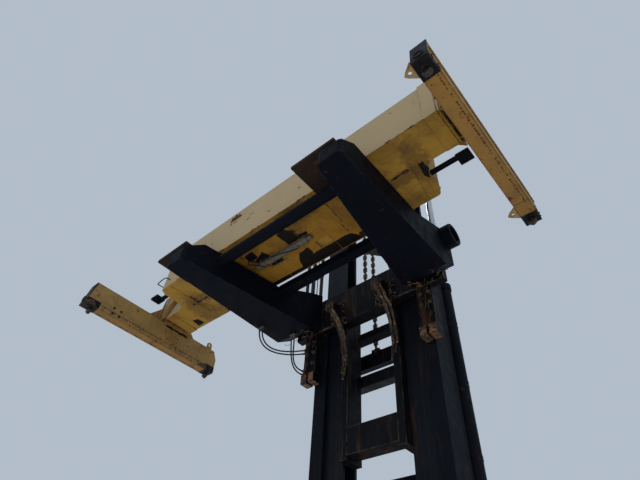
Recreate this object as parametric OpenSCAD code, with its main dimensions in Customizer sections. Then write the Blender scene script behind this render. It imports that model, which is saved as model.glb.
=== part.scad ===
// Container spreader on two carriage arms, with its carriage and a two-stage lift mast.
// Millimetres. X runs across the mast, Y from the spreader back to the mast, Z up.
// The origin is the middle of the mast's foot pin. The rest pose is a raised mast.

/* [Mast] */
// Overall width over the outer rails
mast_w = 2000; // [1900:10:2100]
// Height of the outer stage
stage_h = 6050; // [5900:10:6300]
// Height of the inner stage
inner_h = 6800; // [6500:10:7000]
// How far the inner stage stands above the outer one in the rest pose
raise = 1700; // [1500:10:1800]
// Depth of an outer rail, front to back
rail_d = 400; // [380:5:420]
// Width of an outer rail's flange
outer_flange_w = 200; // [180:5:220]
// Thickness of an outer rail's flange
outer_flange_t = 50; // [40:1:55]
// Thickness of an outer rail's web
outer_web_t = 40; // [30:1:45]
// Thickness of an inner rail's flange
inner_flange_t = 40; // [30:1:45]
// Thickness of an inner rail's web
inner_web_t = 40; // [30:1:45]
// Clear width between the inner rails
mast_gap = 1000; // [960:10:1040]
// Distance from the mast's front face back to its foot pin
foot_back = 560; // [540:5:600]
// Height of the foot pin above the outer rails' lower ends
foot_up = 350; // [300:10:400]
// Diameter of the foot pin's bores
foot_bore = 120; // [100:2:140]
// Diameter of the tilt cylinders' pin bores
tilt_bore = 70; // [60:2:80]
// Height of the tilt brackets above the foot pin
tilt_up = 2300; // [2000:10:2600]

/* [Lift cylinders and chains] */
// Outside diameter of a lift cylinder
lift_barrel_d = 180; // [160:2:190]
// Diameter of a lift cylinder's rod
lift_rod_d = 100; // [80:2:110]
// Pitch diameter of a chain sheave
sheave_d = 240; // [220:2:260]
// Width of a lift chain
chain_w = 60; // [50:1:70]
// Distance of each lift chain from the mast's middle
chain_x = 250; // [220:5:280]

/* [Carriage] */
// Height of the carriage's side plates
carriage_h = 2600; // [2500:10:2650]
// Thickness of a carriage side plate
side_plate_t = 105; // [90:5:110]
// Front to back depth of the carriage's cross beam
cross_d = 150; // [130:5:160]
// Distance from the mast's front face to the spreader's centre line
reach = 1550; // [1500:10:1650]

/* [Arms] */
// Distance from the mast's middle to an arm's outer face
arm_out = 1480; // [1440:10:1520]
// Width of an arm at its tip
arm_tip_w = 330; // [300:10:350]
// Width of an arm at its root
arm_root_w = 660; // [620:10:680]
// Depth of an arm under the spreader
arm_h = 420; // [380:10:440]
// Height of the upright face of an arm's nose
arm_nose_h = 220; // [180:10:260]
// How far an arm's root rises above the arm where it meets the cross beam
arm_root_up = 354; // [320:10:380]
// Diameter of the tube between the arms
cross_tube_d = 160; // [140:2:180]

/* [Spreader] */
// Distance between the twistlocks along the spreader, at its short setting
lock_pitch_x = 5853; // [5853]
// Distance between the twistlocks across the spreader
lock_pitch_y = 2259; // [2259]
// Side shift of the spreader in the rest pose, from the mast's middle
shift = -320; // [-400:10:-240]
// Thickness of a bearing shoe under the main tubes
shoe_t = 44; // [36:1:50]
// Width of one main tube
tube_w = 500; // [480:5:520]
// Height of a main tube
tube_h = 730; // [680:10:760]
// Wall of a main tube
tube_wall = 15; // [10:1:18]
// Distance from the spreader's middle to a main tube's open end
tube_open = 2740; // [2700:10:2760]
// Distance from the spreader's middle to a main tube's closed end
tube_closed = 2200; // [2160:10:2240]
// Gap between a main tube's wall and the sliding beam in it
slide_gap = 12; // [8:1:15]
// Height of the main tubes' underside above the twistlocks' tips
tube_up = 500; // [480:5:520]
// Width of an end beam
end_w = 170; // [160:5:180]
// Distance from the spreader's middle line to an end beam's front end
end_front = 1250; // [1220:5:1280]
// Distance from the spreader's middle line to an end beam's rear end
end_rear = 1220; // [1200:5:1250]
// Height of a lock housing
housing_h = 110; // [100:5:130]
// Height of the landing faces above the twistlocks' tips
landing_up = 100; // [95:1:105]
// Diameter of a twistlock's shaft
lock_shaft_d = 50; // [44:1:54]

/* [Hidden] */
$fn = 48;

yellow = [0.80, 0.62, 0.30];
black = [0.10, 0.11, 0.14];
chrome = [0.75, 0.75, 0.76];
grey = [0.55, 0.53, 0.48];
rust = [0.30, 0.17, 0.11];

// running clearance between pieces that slide past each other
clear = 10;
// gap at a roller, pad or collar that carries a moving piece
seat_gap = 0.3;
// face to face places on the mast
front_y = -foot_back;
outer_z0 = -foot_up;
outer_z1 = outer_z0 + stage_h;
inner_z0 = outer_z0 + raise;
inner_z1 = inner_z0 + inner_h;
outer_x = mast_w / 2;
gap_x = mast_gap / 2;
outer_back_y = front_y + rail_d;
inner_y0 = front_y + outer_flange_t + clear;
inner_y1 = outer_back_y - outer_flange_t - clear;
inner_x1 = outer_x - outer_web_t - 60;
inner_web_x = outer_x - outer_flange_w - 80 - inner_web_t;
// the carriage hangs as low as the mast when the mast is down
carriage_z0 = outer_z0 + 2 * raise + 50;
carriage_z1 = carriage_z0 + carriage_h;
carriage_y0 = front_y - cross_d;
cross_z0 = carriage_z1 - 650;
cross_h = 590;
plate_x1 = gap_x - 2 * clear;
plate_x0 = plate_x1 - side_plate_t;
plate_back_y = inner_y1 - inner_flange_t - 2 * clear;
// the spreader's centre at the height of the twistlocks' tips
tips_z = cross_z0 - 100;
spreader = [shift, front_y - reach, tips_z];
lock_x = lock_pitch_x / 2;
lock_y = lock_pitch_y / 2;
arm_z0 = tips_z + tube_up - shoe_t - seat_gap - arm_h;
arm_z1 = arm_z0 + arm_h;
arm_tip_y = spreader[1] - 1000;
arm_root_y = spreader[1] + 1150;
// the member between the arms and the side shift cylinder lie behind the main tubes
rear_y0 = spreader[1] + tube_w + clear;
rear_w = 120;
shift_y = rear_y0 + rear_w + 110;
shift_z = arm_z1 + 60;

module at_spreader() translate(spreader) children();
module both_sides() for (s = [-1, 1]) scale([s, 1, 1]) children();
module block(x0, x1, y0, y1, z0, z1) translate([x0, y0, z0]) cube([x1 - x0, y1 - y0, z1 - z0]);
module bar_x(x0, x1, y, z, d) translate([x0, y, z]) rotate([0, 90, 0]) cylinder(d = d, h = x1 - x0);
module post(x, y, z0, z1, d) translate([x, y, z0]) cylinder(d = d, h = z1 - z0);

// Outer stage

// one outer rail, a channel that opens towards the mast's middle
module outer_rail() {
    block(outer_x - outer_web_t, outer_x, front_y, outer_back_y, outer_z0, outer_z1);
    for (y = [front_y, outer_back_y - outer_flange_t])
        block(outer_x - outer_flange_w, outer_x, y, y + outer_flange_t, outer_z0, outer_z1);
}
tie_pitch = 1550;
tie_h = 240;
top_tie_down = 1080;
outer_tie_zs = [outer_z0, outer_z0 + tie_pitch, outer_z0 + 2 * tie_pitch, outer_z1 - top_tie_down];
tie_y0 = outer_back_y + 130;
tie_y1 = tie_y0 + 100;
tie_pad_x = outer_x - outer_flange_w;
tie_pad_w = 80;
module outer_ties() color(black) {
    for (z = outer_tie_zs) {
        block(-tie_pad_x, tie_pad_x, tie_y0, tie_y1, z, z + tie_h);
        both_sides() block(tie_pad_x, tie_pad_x + tie_pad_w, outer_back_y, tie_y1, z, z + tie_h);
    }
    // prongs on either side of each chain's rear end
    both_sides() for (x = [chain_x - chain_w / 2 - prong_gap - prong_t, chain_x + chain_w / 2 + prong_gap])
        block(x, x + prong_t, chain_rear_y - 25, tie_y0, anchor_rear_z - 80, anchor_rear_z + 60);
}
prong_gap = 8;
prong_t = 30;

barrel_x = outer_x - 15;
barrel_y = outer_back_y + lift_barrel_d / 2 + 40;
barrel_z0 = outer_z0 + 600;
barrel_z1 = outer_z1 - 200;
barrel_seat_t = 40;
rod_reach = 2100;
module outer_rail_side() {
    outer_rail();
    // seat of the lift cylinder on the rail
    block(outer_x - 130, outer_x + 60, outer_back_y, barrel_y + lift_barrel_d / 2, barrel_z0 - barrel_seat_t, barrel_z0);
    // stub of the upper roller
    bar_x(inner_x1 + 20, outer_x - outer_web_t, roller_y, outer_z1 - 140, 60);
}

// brackets welded to the backs of the outer rails: two foot lugs and two tilt brackets
foot_lug_t = 90;
foot_lug_x0 = tie_pad_x + tie_pad_w + 5;
foot_boss_d = foot_bore + 140;
module foot_lug() difference() {
    union() {
        block(foot_lug_x0, foot_lug_x0 + foot_lug_t, outer_back_y, 0, -foot_boss_d / 2, barrel_z0 - barrel_seat_t - clear);
        bar_x(foot_lug_x0, foot_lug_x0 + foot_lug_t, 0, 0, foot_boss_d);
    }
    bar_x(foot_lug_x0 - 5, foot_lug_x0 + foot_lug_t + 5, 0, 0, foot_bore);
}
tilt_gap = 90;
tilt_lug_t = 40;
tilt_x = 640;
tilt_y = tie_y1 + 90;
tilt_h = 150;
module tilt_bracket() difference() {
    x0 = tilt_x - tilt_gap / 2 - tilt_lug_t;
    x1 = tilt_x + tilt_gap / 2;
    union() {
        block(x0, tie_pad_x + tie_pad_w, tie_y1 - 110, tie_y1, tilt_up - tilt_h, tilt_up + tilt_h);
        block(tie_pad_x, tie_pad_x + tie_pad_w, outer_back_y, tie_y1, tilt_up - tilt_h, tilt_up + tilt_h);
        for (x = [x0, x1]) {
            block(x, x + tilt_lug_t, tie_y1, tilt_y, tilt_up - tilt_h / 2, tilt_up + tilt_h / 2);
            bar_x(x, x + tilt_lug_t, tilt_y, tilt_up, tilt_h);
        }
    }
    bar_x(x0 - 5, x1 + tilt_lug_t + 5, tilt_y, tilt_up, tilt_bore);
}
module mast_brackets() color(black) both_sides() {
    foot_lug();
    tilt_bracket();
}

// rollers run between an inner rail's flanges
roller_y = (inner_y0 + inner_y1) / 2;
roller_recess = 8;
roller_d = inner_y1 - inner_y0 - 2 * inner_flange_t - 2 * seat_gap;
module roller(x0, x1, z) difference() {
    bar_x(x0, x1, roller_y, z, roller_d);
    bar_x(x0 - 1, x0 + roller_recess, roller_y, z, roller_d * 0.6);
}
module outer_rollers() color(grey) both_sides()
    roller(inner_web_x + inner_web_t + 10, inner_x1 + 20, outer_z1 - 140);

module lift_barrels() color(black) both_sides() difference() {
    union() {
        post(barrel_x, barrel_y, barrel_z0, barrel_z1, lift_barrel_d);
        for (z = [barrel_z0, barrel_z1 - 90]) post(barrel_x, barrel_y, z, z + 90, lift_barrel_d + 24);
    }
    post(barrel_x, barrel_y, barrel_z0 + 80, barrel_z1 + 1, lift_rod_d + 10);
}

// Inner stage

module inner_rail() {
    difference() {
        union() {
            block(inner_web_x, inner_web_x + inner_web_t, inner_y0, inner_y1, inner_z0, inner_z1);
            for (y = [inner_y0, inner_y1 - inner_flange_t])
                block(gap_x, inner_x1, y, y + inner_flange_t, inner_z0, inner_z1);
        }
        // room for the lower roller
        block(inner_web_x + inner_web_t + 20, outer_x, front_y, outer_back_y, inner_z0 - 1, inner_z0 + 330);
    }
    bar_x(inner_web_x + inner_web_t, inner_web_x + inner_web_t + 60, roller_y, inner_z0 + 160, 70);
}
// places of the inner stage's ties: height of the lower edge above the stage's foot, height of the tie
low_tie_up = 2830;
high_tie_up = 3610;
inner_tie_list = [[0, 240], [low_tie_up, 175], [high_tie_up, 120], [inner_h - 400, 400]];
inner_tie_y1 = outer_back_y + 50;
module inner_ties() color(black) for (tie = inner_tie_list) {
    z = inner_z0 + tie[0];
    block(-gap_x, gap_x, inner_y1 - inner_flange_t, inner_y1, z, z + tie[1]);
    block(-gap_x - 140, gap_x + 140, inner_y1, inner_tie_y1, z, z + tie[1]);
}
// beam that the rods push on, slotted for the chains' rear runs, with the cheeks and axles of the sheaves
head_d = 260;
module crosshead() color(black) {
    difference() {
        block(-outer_x - 80, outer_x + 80, inner_tie_y1, inner_tie_y1 + head_d, head_z0, inner_z1);
        both_sides() block(chain_x - chain_w / 2 - 10, chain_x + chain_w / 2 + 10,
            chain_rear_y - chain_t / 2 - 10, chain_rear_y + chain_t / 2 + 10, head_z0 - 1, inner_z1 + 1);
    }
    both_sides() {
        for (x = [chain_x - cheek_x - cheek_t, chain_x + cheek_x])
            block(x, x + cheek_t, sheave_y - 70, inner_tie_y1 + 60, inner_z1, sheave_z + 70);
        bar_x(chain_x - cheek_x - 40, chain_x + cheek_x + 40, sheave_y, sheave_z, axle_d);
    }
}
head_z0 = inner_z1 - 130;
sheave_y = outer_back_y - 20;
sheave_z = inner_z1 + 140;
axle_d = 50;
cheek_t = 30;
cheek_x = chain_w / 2 + 15;

lower_roller_d = rail_d - 2 * outer_flange_t - 2 * seat_gap;
module inner_rollers() color(grey) both_sides() difference() {
    bar_x(inner_web_x + inner_web_t + 60, outer_x - outer_web_t - 10, roller_y, inner_z0 + 160, lower_roller_d);
    bar_x(outer_x - outer_web_t - 18, outer_x, roller_y, inner_z0 + 160, lower_roller_d * 0.6);
}

module lift_rods() color(chrome) both_sides()
    post(barrel_x, barrel_y, barrel_z1 - rod_reach, head_z0, lift_rod_d);

// one chain sheave with its grooved rim
module sheave(x) color(grey) translate([x, sheave_y, sheave_z]) rotate([0, 90, 0]) difference() {
    bore_r = axle_d / 2 + seat_gap;
    rim_r = sheave_d / 2 + 14;
    groove_r = sheave_d / 2 * cos(link_turn / 2) - chain_t / 2 - seat_gap;
    half_w = chain_w / 2 + 10;
    groove_w = chain_w / 2 + 1;
    rotate_extrude() polygon([
        [bore_r, -half_w], [rim_r, -half_w], [rim_r, -groove_w - 3], [groove_r, -groove_w],
        [groove_r, groove_w], [rim_r, groove_w + 3], [rim_r, half_w], [bore_r, half_w]
    ]);
    for (a = [0:60:300]) rotate(a) translate([groove_r * 0.65, 0, -chain_w]) cylinder(d = groove_r * 0.35, h = 2 * chain_w);
}

// Leaf chains: plates in three layers, each second link's plates between those of its neighbours

chain_t = 40;
// links that lie on half a turn of the sheave, and the angle of each
arc_links = 5;
link_turn = 180 / arc_links;
chain_pitch = sheave_d * sin(link_turn / 2);
plate_lap = 17;
chain_front_y = sheave_y - sheave_d / 2;
chain_rear_y = sheave_y + sheave_d / 2;
// whole links down to the carriage and down to the outer stage's top tie
front_links = floor((sheave_z - carriage_z1 + 260) / chain_pitch);
rear_links = floor((sheave_z - outer_z1 + top_tie_down - 180) / chain_pitch);
anchor_front_z = sheave_z - front_links * chain_pitch;
anchor_rear_z = sheave_z - rear_links * chain_pitch;
// a plate's outline, drawn down from its upper pin
module link_plate() polygon([
    [0, plate_lap], [chain_t / 2, 0], [chain_t / 2, -chain_pitch],
    [0, -chain_pitch - plate_lap], [-chain_t / 2, -chain_pitch], [-chain_t / 2, 0]
]);
// the plates of every second link, seen from the side; link 0 is the first below the sheave at the front
module link_row(first) {
    for (i = [first:2:front_links - 1]) translate([chain_front_y, sheave_z - i * chain_pitch]) link_plate();
    for (i = [1 - first:2:arc_links - 1]) translate([sheave_y, sheave_z]) rotate(-link_turn * (i + 1))
        translate([-sheave_d / 2, 0]) rotate(link_turn / 2) link_plate();
    for (i = [first:2:rear_links - 1]) translate([chain_rear_y, sheave_z - i * chain_pitch]) link_plate();
}
module lift_chains() color(black) both_sides() {
    leaf_w = chain_w / 3;
    for (layer = [0:2]) from_side(chain_x - chain_w / 2 + layer * leaf_w, leaf_w) link_row(layer % 2);
}

// taut hoses down the left of the mast: place across the mast, diameter
mast_hose_list = [[-outer_x - 65, 60], [-outer_x - 160, 16], [-outer_x - 260, 70], [-outer_x - 400, 60]];
mast_hose_y = inner_y0;
mast_hose_z1 = inner_z1 + 12;
module mast_hoses() color(black) {
    for (h = mast_hose_list) post(h[0], mast_hose_y, carriage_z1 + 60, mast_hose_z1, h[1]);
    // saddle on the inner rail's top
    block(-inner_x1, -gap_x - 140, inner_y0, inner_y0 + 100, inner_z1, mast_hose_z1 + 50);
    block(-outer_x - 450, -inner_x1, mast_hose_y - 50, inner_y0 + 100, mast_hose_z1, mast_hose_z1 + 50);
}

// Carriage

module side_plate() {
    block(plate_x0, plate_x1, front_y - beam_back, plate_back_y, carriage_z0, carriage_z1);
    // stubs of the rollers
    for (z = carriage_roller_zs) bar_x(plate_x1, plate_x1 + 30 + roller_recess, roller_y, z, 70);
}
// how far the carriage's front face stands before the mast
beam_back = 30;
wing = 380;
wing_t = 40;
// greasy flange that curves out from a side plate's front to the cross beam's end
module wing_flange() translate([0, front_y - beam_back, 0]) rotate([90, 0, 0]) linear_extrude(wing_t) polygon([
    for (a = [0:10:90]) [plate_x1 + wing * (1 - sin(a)), cross_z0 - 130 + 500 * cos(a)],
    [plate_x1 - 60, cross_z0 - 500], [plate_x0, cross_z0 - 500], [plate_x0, cross_z0 + 470],
    [plate_x1 + wing, cross_z0 + 470]
]);
comb_t = 40;
module carriage_beams() color(black) {
    both_sides() wing_flange();
    // cross beam
    block(-cross_x1, cross_x1, carriage_y0, front_y - beam_back, cross_z0, cross_z0 + cross_h);
    // plate and lower box between the side plates
    block(-plate_x0, plate_x0, front_y - beam_back, front_y + 60, cross_z0, cross_z0 + 550);
    block(-plate_x0, plate_x0, front_y - beam_back, front_y + 200, carriage_z0 + 50, carriage_z0 + 390);
    // comb in front of the mast hoses
    block(-outer_x - 440, -outer_x - 40, carriage_y0 + 20, mast_hose_y - 41, carriage_z1 + 20, carriage_z1 + 20 + comb_t);
    block(-outer_x - 180, -outer_x - 60, carriage_y0 + 20, front_y - beam_back, cross_z0 + cross_h,
        carriage_z1 + 20 + comb_t);
    // prongs on either side of each chain's front end
    both_sides() for (x = [chain_x - chain_w / 2 - prong_gap - prong_t, chain_x + chain_w / 2 + prong_gap])
        block(x, x + prong_t, front_y + 60, chain_front_y + 25, anchor_front_z - 60, anchor_front_z + 60);
}
cross_x1 = arm_out - 180;
carriage_roller_zs = [carriage_z0 + 160, carriage_z1 - 200];
module carriage_rollers() color(grey) both_sides() for (z = carriage_roller_zs)
    roller(plate_x1 + 30, inner_web_x - 20, z);

// a shank that hangs in front of an outer rail, with its hook block
module shank() {
    x0 = shank_x0;
    block(x0, x0 + shank_w, carriage_y0, front_y - beam_back, shank_foot_z, cross_z0);
    block(x0 - 10, x0 + 90, carriage_y0 - 30, front_y - beam_back, shank_foot_z - hook_h, shank_foot_z);
    block(x0 + 120, x0 + shank_w + 10, carriage_y0 - 30, front_y - beam_back, shank_foot_z - hook_h, shank_foot_z);
}
shank_w = 220;
shank_x0 = outer_x - shank_w / 2;
shank_foot_z = tips_z - 560;
hook_h = 140;

// Arms

nose_r = 60;
nose_slope = 250;
cheek_w = 80;
arm_x0 = arm_out - arm_root_w;
cheek_y0 = rear_y0 + clear;
// the root rises just behind the side shift cylinder
rise_y = shift_y + 70;
// height of the root's upper edge at y, a straight line up to the cross beam
function root_z(y) = arm_z1 + arm_root_up * (y - cheek_y0) / (carriage_y0 - cheek_y0);
// plan of an arm: tapered, its nose rounded at the inner corner
module arm_plan() {
    tip_x = arm_out - arm_tip_w;
    polygon([
        [arm_out, arm_tip_y + nose_r / 2], [arm_out - nose_r / 2, arm_tip_y],
        for (a = [90:-22.5:0]) [tip_x + nose_r * (1 - cos(a)), arm_tip_y + nose_r * (1 - sin(a))],
        [arm_x0, arm_root_y], [arm_x0, carriage_y0], [arm_out, carriage_y0]
    ]);
}
module from_side(x0, w) translate([x0, 0, 0]) rotate([90, 0, 90]) linear_extrude(w) children();
module arm() {
    intersection() {
        translate([0, 0, arm_z0]) linear_extrude(arm_h + arm_root_up) arm_plan();
        from_side(arm_x0, arm_root_w) polygon([
            [arm_tip_y, arm_z0], [arm_tip_y, arm_z0 + arm_nose_h], [arm_tip_y + nose_slope, arm_z1],
            [rise_y, arm_z1], [rise_y, root_z(rise_y)], [carriage_y0, arm_z1 + arm_root_up],
            [carriage_y0, arm_z0 + 160], [arm_root_y, arm_z0]
        ]);
    }
    // outer cheek, which rises earlier than the rest of the root
    from_side(arm_out - cheek_w, cheek_w)
        polygon([[cheek_y0, arm_z1 - 40], [cheek_y0, arm_z1], [carriage_y0, arm_z1 + arm_root_up], [rise_y, arm_z1 - 40]]);
}
pin_y = arm_root_y + 130;
pin_z = arm_z1 + 150;
module arm_pins() color(black) both_sides() {
    bar_x(arm_out, arm_out + 60, pin_y, pin_z, 230);
    bar_x(arm_out + 60, arm_out + 90, pin_y, pin_z, 120);
}
cross_tube_y = spreader[1] - 480;
cross_tube_z = arm_z0 + 250;
module cross_tube() color(black) {
    x1 = arm_inner(cross_tube_y + cross_tube_d / 2);
    bar_x(-x1, x1, cross_tube_y, cross_tube_z, cross_tube_d);
}
// distance from the middle to an arm's tapered inner face at y
function arm_inner(y) = arm_out - arm_tip_w
    - (arm_root_w - arm_tip_w) * (y - arm_tip_y - nose_r) / (arm_root_y - arm_tip_y - nose_r);
module rear_member() color(black)
    block(-arm_inner(rear_y0 + rear_w), arm_inner(rear_y0 + rear_w), rear_y0, rear_y0 + rear_w, arm_z1 - 130, arm_z1);

// Side shift cylinder behind the main tubes
shift_rod_d = 50;
shift_barrel_d = 100;
shift_lug_x = 555;
shift_lug_r = 50;
shift_lug_w = 90;
// the barrel's ends and the rod's hidden end, from the spreader's middle
shift_x0 = -980;
shift_x1 = 60;
shift_rod_x0 = -200;
module shift_rod() {
    root_x = arm_inner(shift_y + shift_lug_w / 2);
    color(chrome) bar_x(spreader[0] + shift_rod_x0, shift_lug_x, shift_y, shift_z, shift_rod_d);
    // wedge shaped lug on the right arm, with a round eye
    color(black) translate([0, shift_y + shift_lug_w / 2, 0]) rotate([90, 0, 0]) linear_extrude(shift_lug_w) {
        translate([shift_lug_x, shift_z]) circle(shift_lug_r);
        polygon([
            [shift_lug_x, shift_z - shift_lug_r], [shift_lug_x, shift_z + shift_lug_r],
            [root_x, shift_z + shift_lug_r], [root_x, arm_z1 - 200], [root_x - 90, arm_z1 - 170]
        ]);
    }
}
module shift_barrel() color(black) at_spreader() {
    y = shift_y - spreader[1];
    z = shift_z - spreader[2];
    r = shift_barrel_d / 2;
    difference() {
        bar_x(shift_x0, shift_x1, y, z, shift_barrel_d);
        bar_x(shift_x0 + 40, shift_x1 + 1, y, z, shift_rod_d + 10);
    }
    block(shift_x0, shift_x0 + 120, tube_w, y + r, z + r, z + r + 70);
    block(shift_x0, shift_x0 + 40, y - r, y + r, z - r, z + r);
}

// hoses from the left arm's underside to the left shank: two loops held at both ends
hose_d = 22;
function bend(p, n = 10) = [
    for (i = [0:n]) let (t = i / n)
        pow(1 - t, 3) * p[0] + 3 * pow(1 - t, 2) * t * p[1] + 3 * (1 - t) * t * t * p[2] + pow(t, 3) * p[3]
];
fitting = 40;
// bends in the spreader's frame: start under the left arm, two points that pull the curve, end on the shank
hose_bends = [
    [[-1100, 700, arm_z0 - tips_z], [-1100, 720, -480], [-950, 1250, -220], [-830, 1440, -140]],
    [[-840, 1120, arm_z0 - tips_z], [-880, 1200, -230], [-930, 1220, -500], [-830, 1440, -500]]
];
hose_step = 60;
module hose(path, d) {
    sides = 8;
    n = len(path);
    points = [
        for (i = [0:n - 1]) let (
            dir = path[min(i + 1, n - 1)] - path[max(i - 1, 0)],
            f = dir / norm(dir),
            s = cross(f, [1, 0, 0]) / norm(cross(f, [1, 0, 0])),
            u = cross(s, f)
        ) for (k = [0:sides - 1])
            path[i] + d / 2 * (cos(360 * k / sides) * s - sin(360 * k / sides) * u)
    ];
    faces = concat(
        [[for (k = [0:sides - 1]) k]],
        [for (i = [0:n - 2], k = [0:sides - 1])
            [i * sides + k, (i + 1) * sides + k, (i + 1) * sides + (k + 1) % sides, i * sides + (k + 1) % sides]],
        [[for (k = [sides - 1:-1:0]) (n - 1) * sides + k]]
    );
    polyhedron(points, faces);
}
module arm_hoses() color(black) at_spreader() for (bend_points = hose_bends, i = [0:1]) {
    a = bend_points[0] + [i * hose_step, 0, 0];
    b = bend_points[3] + [0, 0, i * hose_step];
    pull_a = bend_points[1] + [i * hose_step, 0, 0];
    pull_b = bend_points[2] + [0, 0, i * hose_step];
    hose(bend([a - [0, 0, fitting - 5], pull_a, pull_b, b]), hose_d);
    block(a[0] - 15, a[0] + 15, a[1] - 20, a[1] + 20, a[2] - fitting, a[2]);
    block(b[0] - 5, -shank_x0 - shank_w - spreader[0], b[1] - 15, b[1] + 15, b[2] - 15, b[2] + 15);
}

// Main frame

// the front tube: closed at -X and open at +X, in the spreader's own frame
// plan of the front tube, drawn in from its faces by t, with the closed end's front corner rounded
tube_corner = 60;
module tube_plan(t) difference() {
    union() {
    translate([-tube_closed + tube_corner, -tube_w + t]) square([tube_closed + tube_open, tube_w - 2 * t]);
    translate([-tube_closed + t, -tube_w + tube_corner]) square([tube_closed, tube_w - tube_corner - t]);
    translate([-tube_closed + tube_corner, -tube_w + tube_corner]) circle(tube_corner - t);
    }
    // notch for the hoses where the closed end meets the other tube
    polygon([
        [-tube_closed - 1, 1], [-tube_closed - 1, -notch_w - t], [-tube_closed + notch_in + t, -notch_w * 0.6 - t],
        [-tube_closed + notch_in + t, 1]
    ]);
}
notch_w = 230;
notch_in = 110;
module front_tube() difference() {
    union() {
        intersection() {
            translate([0, 0, tube_up]) linear_extrude(tube_h) tube_plan(0);
            block(-tube_closed, tube_open, -tube_w, 0, tube_up, tube_up + tube_h);
        }
        // collar round the open end
        block(tube_open - 190, tube_open - 30, -tube_w - 14, 0, tube_up - 14, tube_up + tube_h + 14);
    }
    translate([0, 0, tube_up + tube_wall]) linear_extrude(tube_h - 2 * tube_wall) tube_plan(tube_wall);
    // slots in the underside
    block(-640, -420, -tube_w / 2 - 70, -tube_w / 2 + 80, tube_up - 1, tube_up + tube_wall + 1);
    block(90, 420, -tube_w / 2 + 60, -tube_w / 2 + 130, tube_up - 1, tube_up + tube_wall + 1);
}
// curved plate in the corner between a closed end and the other tube
fillet_reach = 170;
fillet_w = 110;
fillet_lip = 25;
module end_fillet() translate([0, 0, tube_up]) linear_extrude(tube_wall) polygon([
    [-tube_closed + notch_in, 0], [-tube_closed + notch_in, -notch_w * 0.6], [-tube_closed, -notch_w],
    [-tube_closed, -tube_w + tube_corner],
    [-tube_closed - fillet_lip, -tube_w + tube_corner + fillet_lip],
    for (a = [0:15:90]) [-tube_closed - fillet_lip - fillet_reach * (1 - cos(a)), -fillet_w + fillet_w * sin(a)]
]);
// slide pads under a sliding beam, near the tube's open end
module beam_pads() for (y = [-tube_w + gap_all + 30, -gap_all - 130])
    block(tube_open - 260, tube_open - 60, y, y + 100, tube_up + tube_wall, tube_up + gap_all - seat_gap);
module main_frame() color(yellow) at_spreader() {
    for (a = [0, 180]) rotate(a) {
        front_tube();
        beam_pads();
        end_fillet();
    }
    // lower lip along each long edge
    for (a = [0, 180]) rotate(a) block(-tube_closed + 400, tube_open - 190, -tube_w - 12, -tube_w + 1,
        tube_up, tube_up + 60);
}
shoe_x0 = 1000;
shoe_x1 = 1650;
shoe_front = 940;
shoe_lap = 100;
rear_shoe_w = 60;
// plates that slide on the arms: wide ones at the front, narrow strips at the rear
module bearing_shoes() color(rust) at_spreader() both_sides() {
    block(shoe_x0, shoe_x1, -shoe_front, -tube_w + shoe_lap, tube_up - shoe_t, tube_up);
    block(shoe_x0, shoe_x1, tube_w - shoe_lap, tube_w - shoe_lap + rear_shoe_w, tube_up - shoe_t, tube_up);
}
module underside_cylinder() color(grey) at_spreader() {
    bar_x(-500, 400, 30, tube_up - 46, 90);
    bar_x(400, 480, 30, tube_up - 46, 60);
    bar_x(-550, -500, 30, tube_up - 46, 70);
    // hose ports
    for (x = [-360, 240]) post(x, 30, tube_up - 46 - 66, tube_up - 46, 34);
    for (x = [-460, 340]) block(x, x + 40, -25, 85, tube_up - 60, tube_up);
}
module valve_block() color(black) at_spreader() {
    block(-560, -430, -220, -110, tube_up - 40, tube_up);
    for (x = [-530, -470]) post(x, -165, tube_up - 70, tube_up - 40, 30);
}
// a bar with a plate at its end, on each closed tube end
marker_reach = 350;
module marker_bars() color(black) at_spreader() for (a = [0, 180]) rotate(a) {
    block(-tube_closed - marker_reach, -tube_closed, -290, -240, tube_up + 140, tube_up + 190);
    block(-tube_closed - marker_reach - 170, -tube_closed - marker_reach, -380, -220, tube_up + 145, tube_up + 185);
}

// Sliding beams and end beams, drawn for the right end

beam_in = 1750;
beam_t = 12;
end_x0 = lock_x - end_w / 2;
end_x1 = lock_x + end_w / 2;
beam_x1 = end_x0 + 40;
gap_all = tube_wall + slide_gap;
module beam() difference() {
    block(-beam_in, beam_x1, -tube_w + gap_all, -gap_all, tube_up + gap_all, tube_up + tube_h - gap_all);
    block(-beam_in - 1, beam_x1 - 20, -tube_w + gap_all + beam_t, -gap_all - beam_t,
        tube_up + gap_all + beam_t, tube_up + tube_h - gap_all - beam_t);
}

// the end beam's own box, from the lock housings up to the height of the tubes' underside
block_top = landing_up + housing_h;
housing_in = lock_y - 90;
nose_lean = 50;
rear_chamfer = 70;
eye_lug_y = end_rear - 190;
nut_room = 55;
module end_box() difference() {
    from_side(end_x0, end_w) polygon([
        [-end_front, block_top], [-end_front + nose_lean, tube_up], [end_rear - rear_chamfer, tube_up],
        [end_rear, tube_up - 2 * rear_chamfer], [end_rear, block_top], [housing_in, block_top],
        [housing_in, landing_up], [-housing_in, landing_up], [-housing_in, block_top]
    ]);
    // rooms for the twistlocks' nuts
    for (s = [-1, 1]) block(lock_x - nut_room, lock_x + nut_room, s * lock_y - nut_room, s * lock_y + nut_room,
        block_top - 1, block_top + nut_room);
    // bolt holes on the inner face
    for (y = [-820, -700], z = [150, 250])
        translate([end_x0 - 1, y, z]) rotate([0, 90, 0]) cylinder(d = 30, h = 40);
}
// thin strips along the outer face
strip_t = 14;
module end_strips() {
    block(end_x1, end_x1 + strip_t, -housing_in, housing_in, landing_up + 10, landing_up + 90);
    block(end_x1, end_x1 + strip_t, -end_front + nose_lean, end_rear - rear_chamfer, tube_up - 160, tube_up - 140);
}
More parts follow.
